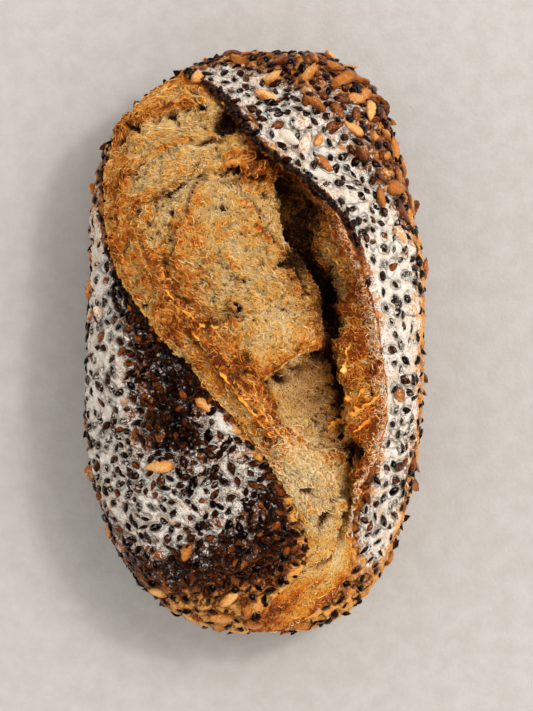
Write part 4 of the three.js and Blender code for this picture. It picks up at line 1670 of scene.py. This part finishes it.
@dataclass(frozen=True)
class Threads:
    """Fine curled threads that lie along a torn surface, their ends sunk in it.

    Lengths run from shortest to longest, short ones commonest, and a thread arches up by its lift at most.
    """

    shortest: float
    longest: float
    thinnest: float
    thickest: float
    lift: float
    curl: float
    spread: float
    paler: float

    SHARES = np.array([0.0, 0.14, 0.38, 0.64, 0.87, 1.0])
    SIDES = 3
    LENGTH_DRAW = (1.4, 3.2)
    MARGIN = 1
    RAISED = 0.1
    SUNK = 0.45

    def walk(
        self, surface: Surface, flow: Array, weight: Array, count: int, draw: np.random.Generator
    ) -> tuple[Array, Array, Array]:
        """Draws threads and follows each over the grid, turning it evenly from end to end.

        Args:
            surface: What they lie on.
            flow: Their usual direction at each point of the grid, in radians.
            weight: How thick they lie at each point.
            count: How many are drawn.
            draw: The random numbers.

        Returns:
            The stations and columns that each goes through, and its length, of those that stay on it.
        """
        rows, columns = surface.grid.shape[:2]
        chance = (surface.areas() * weight).ravel()
        start = draw.choice(rows * columns, count, p=chance / chance.sum())
        i = start // columns + draw.uniform(-0.5, 0.5, count)
        j = start % columns + draw.uniform(-0.5, 0.5, count)
        length = self.shortest + (self.longest - self.shortest) * draw.beta(*self.LENGTH_DRAW, count)
        heading = flow.ravel()[start] + draw.normal(0, self.spread, count)
        heading = heading + np.pi * draw.integers(0, 2, count)
        bend = draw.normal(0, self.curl, count)
        along_step = np.linalg.norm(np.gradient(surface.grid, axis=0), axis=-1).ravel()[start]
        across_step = np.linalg.norm(np.gradient(surface.grid, axis=1), axis=-1).ravel()[start]
        stations, places = [i], [j]
        for low, high in zip(self.SHARES[:-1], self.SHARES[1:]):
            turn = heading + bend * ((low + high) / 2 - 0.5)
            step = (high - low) * length
            stations.append(stations[-1] + step * np.cos(turn) / np.maximum(along_step, 0.1))
            places.append(places[-1] + step * np.sin(turn) / np.maximum(across_step, 0.1))
        station, place = np.stack(stations, 1), np.stack(places, 1)
        inside = (station > self.MARGIN).all(1) & (station < rows - 1 - self.MARGIN).all(1)
        inside = inside & (place > self.MARGIN).all(1) & (place < columns - 1 - self.MARGIN).all(1)
        return station[inside], place[inside], length[inside]

    def lay(
        self, surface: Surface, flow: Array, weight: Array, count: int, seed: int
    ) -> tuple[Shell, dict[str, Array]]:
        """Lays threads at random over a surface, as thin tubes that swell in the middle.

        Args:
            surface: What they lie on.
            flow: Their usual direction at each point of the grid, in radians.
            weight: How thick they lie at each point.
            count: How many are drawn; those that would run off the surface are left out.
            seed: Seeds the draw.

        Returns:
            The joined shell, and the numbers that its finish reads.
        """
        draw = np.random.default_rng(seed)
        station, place, length = self.walk(surface, flow, weight, count, draw)
        count = len(station)
        line = surface.sample(surface.grid, station, place)
        out = unit(surface.sample(surface.normals, station, place))
        hump = np.sin(np.pi * self.SHARES)
        arch = hump * draw.uniform(0.25, 1, (count, 1)) * self.lift * (length[:, None] / self.longest) ** 0.5
        thick = draw.uniform(self.thinnest, self.thickest, count)
        line = line + out * (arch + self.RAISED - self.SUNK * np.abs(2 * self.SHARES - 1) ** 3)[..., None]
        run = unit(np.gradient(line, axis=1))
        side = unit(np.cross(run, out))
        up = np.cross(side, run)
        swell = thick[:, None] * 0.5 * (0.35 + 0.65 * hump)
        middle, wide, side, up = line[:, 1:-1], swell[:, 1:-1, None], side[:, 1:-1], up[:, 1:-1]
        rings = [
            middle + wide * (np.cos(angle) * side + np.sin(angle) * up)
            for angle in 2 * np.pi * np.arange(self.SIDES) / self.SIDES + np.pi / 2
        ]
        points = np.concatenate([np.stack(rings, 2).reshape(count, -1, 3), line[:, :1], line[:, -1:]], 1)
        last = len(self.SHARES) - 1
        template = closed_shell(np.zeros((last - 1, self.SIDES, 3)), np.zeros(3), np.zeros(3))
        order = np.concatenate([np.repeat(np.arange(1, last), self.SIDES), [0, last]])
        toast = surface.sample(surface.values["toast"], station, place)[:, order]
        painted_shade = surface.sample(surface.values["painted_shade"], station, place)[:, order]
        tone = draw.normal(0, 0.12, (count, 1))
        ends = np.abs(2 * self.SHARES[order] - 1)[None]
        # The threads take the painted shade of the surface under them, less for paler kinds, and a little more
        # at their sunk ends.
        values = {
            "toast": (0.7 * toast + tone + 0.08 - self.paler + 0.12 * ends).ravel(),
            "painted_shade": np.clip(painted_shade**1.4 * (1 - 0.6 * self.paler) + 0.1 * ends, 0, 1).ravel(),
        }
        return tiled(template, points), values


# The kinds of threads.
FINE = Threads(1.1, 5.0, 0.16, 0.38, 0.9, 2.0, 0.5, 0.06)
CURLS = Threads(1.8, 6.5, 0.22, 0.46, 1.6, 4.2, 1.4, 0.2)
FRIZZ = replace(CURLS, paler=0.6)
STRANDS = Threads(3.5, 12.0, 0.18, 0.42, 0.6, 0.6, 0.22, 0.1)
LIP_CURLS = Threads(1.5, 6.0, 0.22, 0.46, 1.6, 3.0, 1.2, 0.3)
# Each piece of threads: its name, its kind, how many are drawn and its finish.
THREAD_PIECES = (
    ("crumb_threads", FINE, 6000, STRAND),
    ("crumb_curls", CURLS, 3800, STRAND),
    ("crumb_strands", STRANDS, 2200, STRAND),
    ("wall_threads", FINE, 4200, STRAND),
    ("wall_curls", CURLS, 3600, STRAND),
    ("frizzled_curls", FRIZZ, 1300, STRAND),
    ("lip_curls", LIP_CURLS, 1500, FLOURED),
)


@dataclass(frozen=True)
class Sheet:
    """A thin torn sheet that stands along a line on the crumb.

    Its foot's line is (across, along) points. It stands `height` at its middle and leans to the right of its
    line by `lean` of that.
    """

    foot: tuple[tuple[float, float], ...]
    height: float
    lean: float
    toast: float

    STEP = 0.7
    FEWEST = 6
    SHARES = np.linspace(0, 1, 6)
    WANDER = 0.6
    SMOOTHED = 5
    SUNK = 0.9
    END_SUNK = 0.6
    HALF_THICK = 0.5
    THINNING = 0.75

    def line(self) -> Array:
        """The foot's line seen from above, in even steps: a Hermite cubic through its points."""
        corner = np.array(self.foot, float)
        reached = np.concatenate([[0], np.cumsum(np.linalg.norm(np.diff(corner, axis=0), axis=1))])
        rows = np.column_stack([reached, corner])
        at = np.linspace(0, reached[-1], max(self.FEWEST, int(reached[-1] / self.STEP)))
        return np.stack([along_table(rows, 1, at), along_table(rows, 2, at)], -1)

    def make(self, ground: KDTree, points: Array, noise: Noise) -> tuple[Shell, dict[str, Array]]:
        """Stands the sheet on the crumb: thick at its foot, and its height ragged by noise.

        Args:
            ground: Finds the number of the point under a place seen from above.
            points: The points of the crumb and the wall.
            noise: Its raggedness.

        Returns:
            The closed sheet and what its finish reads.
        """
        line = self.line()
        count = len(line)
        flat = np.column_stack([line, np.zeros(count)])
        line = line + self.WANDER * np.stack([noise.plain(flat, 3.5), noise.plain(flat + 60, 3.5)], -1)
        found = [ground.find((x, y, 0))[1] for x, y in line]
        kernel = np.ones(self.SMOOTHED) / self.SMOOTHED
        height = np.convolve(np.pad(points[found, 2], self.SMOOTHED // 2, "edge"), kernel, "valid")
        foot = np.column_stack([line, height])
        up = np.array([0, 0, 1.0])
        right = unit(np.cross(unit(np.gradient(foot, axis=0)), up))
        ragged = 0.55 + 0.5 * noise.plain(flat + 17, 4) + 0.6 * noise.plain(flat + 31, 1.6)
        taper = np.sin(np.pi * np.linspace(0.02, 0.98, count)) ** 0.5
        tall = (self.height * np.clip(ragged, 0.05, 1.4) * taper)[:, None]
        reach = self.SHARES[:, None]
        curl = self.lean * reach**1.6
        thick = self.HALF_THICK * (1 - self.THINNING * reach) + 0.05
        rise = up * (tall[:, None] * reach - self.SUNK * (1 - reach))
        middle = foot[:, None] + rise + (right * tall)[:, None] * curl
        aside = right[:, None] * thick
        rings = np.concatenate([middle + aside, (middle - aside)[:, ::-1]], 1)
        shell = closed_shell(rings, foot[0] - up * self.END_SUNK, foot[-1] - up * self.END_SUNK)
        share = np.concatenate([self.SHARES, self.SHARES[::-1]])
        toast = np.tile(self.toast - 0.15 + 0.4 * share, count)
        # Painted shade: darker towards the sheet's foot, and at its two closing points.
        painted_shade = np.tile(0.35 * (1 - share), count)
        return shell, {"toast": np.append(toast, [0.5, 0.5]), "painted_shade": np.append(painted_shade, [0.3, 0.3])}


SHEETS = (
    Sheet(((-18, 69), (-8, 71), (4, 69), (14, 64)), 2.2, 0.9, 0.45),
    Sheet(((-5, 9), (-18, 5), (-28, 11), (-35, 19), (-37, 29)), 1.6, 1.0, 0.4),
    Sheet(((-26, 7), (-18, -5), (-8, -18), (1, -30), (8, -40)), 1.4, 0.9, 0.5),
    Sheet(((-1, -16), (1, -24), (5, -32), (13, -40)), 1.2, 0.6, 0.45),
    Sheet(((25, -2), (18, -4), (10, -9), (3, -15)), 1.6, -0.8, 0.3),
    Sheet(((21, -1), (28, 1), (36, -3)), 3.2, -0.5, 0.25),
    Sheet(((37, -1), (36, -10), (37, -20), (38, -30)), 2.2, 1.2, 0.3),
    Sheet(((50, -14), (42, -21), (34, -26)), 2.6, 1.0, 0.5),
    Sheet(((49, -22), (40, -29), (29, -35)), 3.2, 1.1, 0.4),
    Sheet(((48, -29), (40, -36), (33, -41)), 2.2, 0.9, 0.5),
)


# Seeds


@dataclass
class Scattering:
    """Seeds strewn on the crust: where they are, how they lie, and their sizes and numbers."""

    places: Array
    frames: Array
    sizes: Array
    values: dict[str, Array]

    BUMP_LENGTH = 2.2

    def build(self, kind: Seeds, noise: Noise) -> Object:
        """Makes one joined piece of them, each one a little different by noise.

        Args:
            kind: What they are.
            noise: Moves their points.

        Returns:
            The object.
        """
        template = kind.template()
        shell = copies(template, self.sizes, self.frames, self.places)
        points = shell.points.reshape(len(self.places), -1, 3)
        away = unit(points - self.places[:, None])
        bumps = noise.plain(points, self.BUMP_LENGTH) * kind.knobbly * self.sizes[:, 1][:, None]
        shell.points = (points + away * bumps[..., None]).reshape(-1, 3)
        across = 2 * np.abs(template.points[:, 1])
        ends = np.abs(2 * template.points[:, 0])
        values = {key: np.repeat(v, len(template.points)) for key, v in self.values.items()}
        values["rim"] = np.tile(np.clip(across**3 + ends**4, 0, 1), len(self.places))
        return shell.to_object(kind.name, values, kind.finish.make(kind.name))


class Strewer:
    """Throws seeds onto the crust so that they keep their distance from each other."""

    JOSTLE = (0.72, 1.2)
    SPARSEST = 0.15

    def __init__(self, surfaces: dict[Side, Surface], seed: int) -> None:
        """Lays the two crusts' points end to end."""
        self.draw = np.random.default_rng(seed)
        self.points = np.concatenate([s.grid.reshape(-1, 3) for s in surfaces.values()])
        self.normals = np.concatenate([s.normals.reshape(-1, 3) for s in surfaces.values()])
        self.flour = np.concatenate([s.values["flour"].ravel() for s in surfaces.values()])
        self.areas = np.concatenate([s.areas().ravel() for s in surfaces.values()])

    def throw(self, kind: Seeds, density: Array, taken: Array, clear: float) -> Array:
        """Picks points at random by density and keeps those that are clear of all kept before.

        Args:
            kind: The seeds, whose spacing is the least distance where the density is 1; it widens as 1 over
                the density's root.
            density: Wanted density at each point, 0 to 1.
            taken: Places already held.
            clear: The radius that each of those keeps clear.

        Returns:
            The indices of the kept points.
        """
        weight = self.areas * density
        picks = self.draw.choice(len(weight), kind.tries, p=weight / weight.sum())
        jostle = self.draw.uniform(*self.JOSTLE, kind.tries)
        buckets: dict[tuple[int, int, int], list[tuple[Array, float]]] = {}
        held = finder(taken)
        kept = []
        for pick, share in zip(picks, jostle):
            p = self.points[pick]
            if len(taken) and held.find(p)[2] < clear:
                continue
            reach = kind.spacing * share / math.sqrt(max(density[pick], self.SPARSEST))
            home = np.floor(p / kind.spacing).astype(int)
            span = math.ceil(reach / kind.spacing)
            near = (
                other
                for dx in range(-span, span + 1)
                for dy in range(-span, span + 1)
                for dz in range(-span, span + 1)
                for other in buckets.get((home[0] + dx, home[1] + dy, home[2] + dz), ())
            )
            if any(np.dot(p - q, p - q) < min(reach, r) ** 2 for q, r in near):
                continue
            buckets.setdefault(tuple(home), []).append((p, reach))
            kept.append(pick)
        return np.array(kept[: kind.most])

    def frames(self, picks: Array, tilt: float) -> Array:
        """Random turns on the crust, each leaning off it by up to about tilt degrees."""
        lean = math.tan(math.radians(tilt)) * self.draw.uniform(-1, 1, (len(picks), 3))
        out = unit(self.normals[picks] + lean)
        turn = self.draw.uniform(0, 2 * np.pi, len(picks))
        run = unit(np.cross(out, [1.0, 0.2, 0.1]))
        side = np.cross(out, run)
        lengthwise = run * np.cos(turn)[:, None] + side * np.sin(turn)[:, None]
        return np.stack([lengthwise, np.cross(out, lengthwise), out], 1)

    def lay(self, kind: Seeds, picks: Array) -> Scattering:
        """Lays seeds of a kind at the picked points, each with its own size, lean, tone and flour."""
        draw, count, vary = self.draw, len(picks), kind.vary
        frames = self.frames(picks, kind.tilt)
        sizes = np.array(kind.size) * draw.uniform(1 - vary, 1 + 1.3 * vary, (count, 1))
        sizes = sizes * draw.uniform(0.9, 1.1, (count, 3))
        lift = sizes[:, 2] * draw.uniform(*kind.proud, count)
        places = self.points[picks] + frames[:, 2] * lift[:, None]
        values = {
            "tone": np.clip(draw.normal(kind.tone, 0.24, count), 0, 1),
            "flour": np.clip(self.flour[picks], 0, 1) * draw.uniform(0.5, 1.3, count),
        }
        return Scattering(places, frames, sizes, values)


@dataclass(frozen=True)
class Seeds:
    """A kind of seed, in millimetres and degrees: the shape of one, how they differ and how they are strewn.

    They come bigger or smaller by `vary`, lean off the crust by `tilt`, stand `proud` of it by shares of
    their thickness and lie round `tone` from dark to light. Of `tries` drawn, at most `most` are kept.
    """

    name: str
    finish: SeedFinish
    size: tuple[float, float, float]
    around: int
    lengthwise: int
    taper: float
    flat: float
    knobbly: float
    vary: float
    tilt: float
    proud: tuple[float, float]
    tone: float
    spacing: float
    tries: int
    most: int | None = None

    def template(self) -> Shell:
        """One of them, one unit long, wide and thick, pointed towards +X.

        Its half width at a share u of its length is sin(pi u)^flat * (1 - taper * u), and its section is round.

        Returns:
            The closed shell.
        """
        u = np.arange(1, self.lengthwise + 1) / (self.lengthwise + 1)
        radius = np.sin(np.pi * u) ** self.flat * (1 - self.taper * u)
        radius = radius / (2 * radius.max())
        turn = 2 * np.pi * np.arange(self.around) / self.around
        x = np.broadcast_to(u[:, None] - 0.5, (self.lengthwise, self.around))
        rings = np.stack([x, radius[:, None] * np.cos(turn), radius[:, None] * np.sin(turn)], -1)
        return closed_shell(rings[:, ::-1], np.array([-0.5, 0, 0]), np.array([0.5, 0, 0]))


@dataclass(frozen=True)
class Linseeds(Seeds):
    """The small dark glossy seeds."""

    name: str = "linseeds"
    finish: SeedFinish = LINSEED
    size: tuple[float, float, float] = (4.9, 3.0, 1.5)
    around: int = 8
    lengthwise: int = 4
    taper: float = 0.4
    flat: float = 0.9
    knobbly: float = 0.06
    vary: float = 0.24
    tilt: float = 30
    proud: tuple[float, float] = (-0.25, 0.3)
    tone: float = 0.4
    spacing: float = 2.8
    tries: int = 18000
    clear_of_kernels: float = 3.2
    clump_length: float = 10
    bare_at_lip: float = 4
    bare_at_edge: float = 3.5

    DENSE = (
        Patch(-48, 16, 9, 18, 0.45),
        Patch(-34, -12, 10, 20, 0.45),
        Patch(-26, -46, 20, 20, 0.3),
        Patch(4, -80, 24, 10, 0.4),
        Patch(4, -56, 9, 18, 0.45),
        Patch(30, 98, 30, 16, 0.25),
        Patch(40, -54, 8, 13, 0.5),
    )
    SPARSE = (
        Patch(-66, 0, 10, 60, 0.5),
        Patch(56, 0, 12, 42, 0.35),
        Patch(52, -84, 14, 26, 0.5),
        Patch(-6, -112, 40, 8, 0.5),
        Patch(20, 74, 22, 26, 0.3),
        Patch(-64, 76, 12, 40, 0.4),
        Patch(70, 0, 8, 80, 0.55),
    )

    def scatter(self, strewer: Strewer, kernels: Scattering, noise: Noise, sections: Sections) -> Scattering:
        """Strews the linseeds in clumps, thickest where the crust is darkest and few at the lifted lip."""
        p = strewer.points
        lip = np.interp(p[:, 1], sections.along, sections.line[Column.LIP])
        at_lip = np.exp(-(((p[:, 0] - lip) / self.bare_at_lip) ** 2))
        height = smoothstep(p[:, 2], 5, 26)
        clumps = 0.4 * noise.plain(p + 300, self.clump_length)
        density = (0.34 + clumps + patched(p, self.DENSE)) * (0.25 + 0.75 * height)
        density = np.clip(density * (1 - np.clip(patched(p, self.SPARSE), 0, 0.85)), 0.03, 1) * (p[:, 2] > 4)
        edge = np.interp(p[:, 1], sections.along, sections.line[Column.EDGE])
        at_edge = np.exp(-(((p[:, 0] - edge) / self.bare_at_edge) ** 2)) * smoothstep(-p[:, 1], 20, 40)
        density = density * (1 - 0.93 * np.maximum(at_lip, at_edge))
        picks = strewer.throw(self, density, kernels.places, self.clear_of_kernels)
        return strewer.lay(self, picks)


@dataclass(frozen=True)
class Kernels(Seeds):
    """The sunflower kernels."""

    name: str = "sunflower_kernels"
    finish: SeedFinish = KERNEL
    size: tuple[float, float, float] = (10.2, 5.1, 3.0)
    around: int = 14
    lengthwise: int = 10
    taper: float = 0.6
    flat: float = 0.62
    knobbly: float = 0.08
    vary: float = 0.2
    tilt: float = 26
    proud: tuple[float, float] = (-0.2, 0.2)
    tone: float = 0.45
    spacing: float = 4.3
    tries: int = 900
    most: int | None = 70
    clear: float = 5.5
    paler_by_hand: float = 0.15
    tones_by_hand: tuple[float, float] = (0.45, 0.9)

    DENSE = (Patch(42, 98, 22, 18, 1.0), Patch(64, 64, 9, 26, 0.6), Patch(-62, 78, 8, 20, 0.2))
    # The kernels that catch the eye, as [across, along] seen from above.
    BY_HAND = (
        (-20, -25), (-38, -49), (-28, -84), (-10, -102), (-39, -101), (-68, -53), (-60, -77), (-14, -114),
        (1, -114), (61, 14), (57, -22), (69, 30), (6, 105), (5, 97), (39, 85), (23, 114), (31, 111),
        (35, 105), (44, 100), (46, 93), (19, 78), (53, 84), (56, 78), (58, 42), (68, 43), (-66, 62),
    )

    def scatter(self, strewer: Strewer) -> Scattering:
        """Puts the kernels that catch the eye in place, and strews the rest, most on the far shoulder."""
        p = strewer.points
        underneath = np.where(p[:, 2] > 30, 0, 50)
        chosen = [int((np.hypot(p[:, 0] - x, p[:, 1] - y) + underneath).argmin()) for x, y in self.BY_HAND]
        height = smoothstep(p[:, 2], 8, 30)
        rim = 0.1 * (1 - smoothstep(p[:, 2], 42, 60))
        density = np.clip((0.004 + patched(p, self.DENSE) + rim) * height, 0, 1)
        strewn = strewer.throw(self, density, p[chosen], self.clear)
        laid = strewer.lay(self, np.concatenate([chosen, strewn]).astype(int))
        shown = laid.values["tone"][: len(chosen)]
        laid.values["tone"][: len(chosen)] = np.clip(shown + self.paler_by_hand, *self.tones_by_hand)
        return laid


@dataclass(frozen=True)
class BurntCrumbs(Seeds):
    """Burnt beads of dough along the lifted lip and here and there on the crust's torn edges."""

    name: str = "burnt_crumbs"
    finish: SeedFinish = BURNT
    size: tuple[float, float, float] = (2.0, 1.3, 1.0)
    around: int = 7
    lengthwise: int = 4
    taper: float = 0.0
    flat: float = 0.6
    knobbly: float = 0.3
    vary: float = 0.55
    tilt: float = 40
    proud: tuple[float, float] = (-0.3, 0.4)
    tone: float = 0.35
    spacing: float = 1.3
    tries: int = 1400
    most: int | None = 320

    def scatter(self, strewer: Strewer, sections: Sections) -> Scattering:
        """Strews them, thickest along the lip's far half."""
        p = strewer.points
        lip = np.interp(p[:, 1], sections.along, sections.line[Column.LIP])
        edge = np.interp(p[:, 1], sections.along, sections.line[Column.EDGE])
        height = smoothstep(p[:, 2], 30, 40)
        at_lip = np.exp(-(((p[:, 0] - lip - 1.8) / 2.2) ** 2))
        along_lip = smoothstep(p[:, 1], 25, 60) * smoothstep(118 - p[:, 1], 0, 12)
        at_edge = 0.12 * np.exp(-(((p[:, 0] - edge) / 2) ** 2))
        density = np.clip((at_lip * along_lip + at_edge) * height, 0, 1)
        return strewer.lay(self, strewer.throw(self, density, np.empty((0, 3)), 0))


# The studio


@dataclass(frozen=True)
class Studio:
    """The floor, the lights and the camera, in metres."""

    camera_at: tuple[float, float, float] = (0.0043, -0.0055, 1.2)
    lens: float = 144.9
    nearest: float = 0.05
    floor_half: float = 2.0
    key_at: tuple[float, float, float] = (0.98, 0.55, 1.78)
    key_aim: tuple[float, float, float] = (0, 0, 0.03)
    key_colour: tuple[float, float, float] = (1.0, 0.985, 0.97)
    lamps: tuple[tuple[float, float], ...] = ((0.9, 15.5), (0.22, 10.9))
    sky_towards: tuple[float, float, float] = (0.84, 0.42, 0.34)
    sky_side: tuple[float, float] = (-0.3, 0.95)
    sky_up: tuple[float, float] = (0.7, 0.97)
    sky_light: float = 1.48
    sky_shade: float = 1.2
    sky_top: float = 0.28
    sky_in_gloss: float = 0.02

    def floor(self, scene: Scene) -> None:
        """Makes the surface that the loaf lies on: one square."""
        half = self.floor_half
        mesh = bpy.data.meshes.new("floor")
        corners = [(-half, -half, 0), (half, -half, 0), (half, half, 0), (-half, half, 0)]
        mesh.from_pydata(corners, [], [(0, 1, 2, 3)])
        mesh.materials.append(FloorFinish().make("pale_floor"))
        floor = bpy.data.objects.new("floor", mesh)
        scene.collection.objects.link(floor)

    def key(self, scene: Scene) -> None:
        """Hangs the key light: a broad lamp for soft shadows, and a small one in it for gleams."""
        for size, watts in self.lamps:
            lamp = bpy.data.lights.new("key", "AREA")
            lamp.energy = watts
            lamp.size = size
            lamp.color = self.key_colour
            key = bpy.data.objects.new("key", lamp)
            key.location = self.key_at
            key.rotation_euler = (Vector(self.key_aim) - key.location).to_track_quat("-Z", "Y").to_euler()
            scene.collection.objects.link(key)

    def sky(self, scene: Scene) -> None:
        """Lights the rest from all round, brighter on one side, dim overhead and dimmer still in gloss."""
        world = bpy.data.worlds.new("studio")
        world.use_nodes = True
        g = Graph(world.node_tree)
        direction = g.node("ShaderNodeTexCoord", {}, {}).outputs["Generated"]
        product = {"operation": "DOT_PRODUCT"}
        towards = g.node("ShaderNodeVectorMath", product, {0: direction, 1: self.sky_towards})
        upwards = g.node("ShaderNodeVectorMath", product, {0: direction, 1: (0, 0, 1)})
        side = Value(g, towards.outputs["Value"]).between(*self.sky_side)
        top = Value(g, upwards.outputs["Value"]).between(*self.sky_up)
        greys = (self.sky_light, self.sky_shade, self.sky_top)
        light, shade, dark = ((grey, grey, grey, 1.0) for grey in greys)
        glossy = Value(g, g.node("ShaderNodeLightPath", {}, {}).outputs["Is Glossy Ray"])
        background = world.node_tree.nodes["Background"]
        g.feed(background.inputs["Color"], g.mix(top, g.mix(side, shade, light), dark))
        g.feed(background.inputs["Strength"], 1 - glossy * (1 - self.sky_in_gloss))
        scene.world = world

    def camera(self, scene: Scene) -> None:
        """Looks straight down on the loaf."""
        lens = bpy.data.cameras.new("camera")
        lens.lens = self.lens
        lens.clip_start = self.nearest
        camera = bpy.data.objects.new("camera", lens)
        camera.location = self.camera_at
        scene.collection.objects.link(camera)
        scene.camera = camera
        scene.view_settings.view_transform = "Standard"

    def build(self) -> None:
        """Makes everything that isn't the loaf."""
        scene = bpy.context.scene
        self.floor(scene)
        self.key(scene)
        self.sky(scene)
        self.camera(scene)


@dataclass
class Loaf:
    """The whole loaf, dressed piece by piece."""

    sections: Sections
    noise: Noise
    first_thread_seed: int = 90
    strewing_seed: int = 411
    least_facing: float = 0.15

    def torn(self) -> list[Object]:
        """Makes the crumb, the baked wall, and the threads and sheets that lie on them."""
        parts = (Crumb(self.sections, self.noise), BakedWall(self.sections, self.noise))
        surfaces = [part.dress() for part in parts]
        pieces = [part.build(surface) for part, surface in zip(parts, surfaces)]
        thickness = [part.thickness(surface.grid) for part, surface in zip(parts, surfaces)]
        for number, (name, kind, count, finish) in enumerate(THREAD_PIECES):
            at = 0 if name in thickness[0] else 1
            part, surface, weight = parts[at], surfaces[at], thickness[at][name]
            seed = self.first_thread_seed + number
            shell, values = kind.lay(surface, part.flow(surface.grid), weight, count, seed)
            pieces.append(shell.to_object(name, values, finish.make(name)))
        pieces.append(self.sheets(surfaces, STRAND))
        return pieces

    def sheets(self, surfaces: list[Surface], finish: CrumbFinish) -> Object:
        """Makes the thin torn sheets that stand on the crumb and the wall."""
        points = np.concatenate([s.grid.reshape(-1, 3) for s in surfaces])
        normals = np.concatenate([s.normals.reshape(-1, 3) for s in surfaces])
        points = points[normals[:, 2] > self.least_facing]
        ground = finder(points * np.array([1, 1, 0]))
        made = [sheet.make(ground, points, self.noise) for sheet in SHEETS]
        values = {key: np.concatenate([m[1][key] for m in made]) for key in ("toast", "painted_shade")}
        return joined([m[0] for m in made]).to_object("torn_sheets", values, finish.make("torn_sheets"))

    def baked(self) -> list[Object]:
        """Makes the crusts, the underside and the seeds."""
        finish = CrustFinish().make("baked_crust")
        crusts = (
            Crust(self.sections, self.noise, "lifted_crust", 180, Side.RIGHT, 54),
            Crust(self.sections, self.noise, "left_crust", 170, Side.LEFT, 44),
        )
        dressed = {crust.side: crust.dress() for crust in crusts}
        strewer = Strewer(dressed, self.strewing_seed)
        kernels, linseeds, burnt = Kernels(), Linseeds(), BurntCrumbs()
        strewn_kernels = kernels.scatter(strewer)
        strewn_linseeds = linseeds.scatter(strewer, strewn_kernels, self.noise, self.sections)
        strewn_burnt = burnt.scatter(strewer, self.sections)
        for crust in crusts:
            crust.bed(dressed[crust.side], [strewn_kernels, strewn_linseeds])
        return [
            *(crust.build(dressed[crust.side], finish) for crust in crusts),
            Underside(self.sections, self.noise).build(finish),
            strewn_kernels.build(kernels, self.noise),
            strewn_linseeds.build(linseeds, self.noise),
            strewn_burnt.build(burnt, self.noise),
        ]


def main() -> None:
    """Builds the loaf piece by piece and puts each on its body."""
    logging.basicConfig(level=logging.INFO, format="%(name)s: %(message)s")
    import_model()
    Studio().build()
    loaf = Loaf(Sections(LoafForm(), Noise(LINE_SEED)), Noise(RELIEF_SEED))
    for piece in loaf.torn() + loaf.baked():
        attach(piece, BODY)
        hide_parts(NODE)


if __name__ == "__main__":
    main()
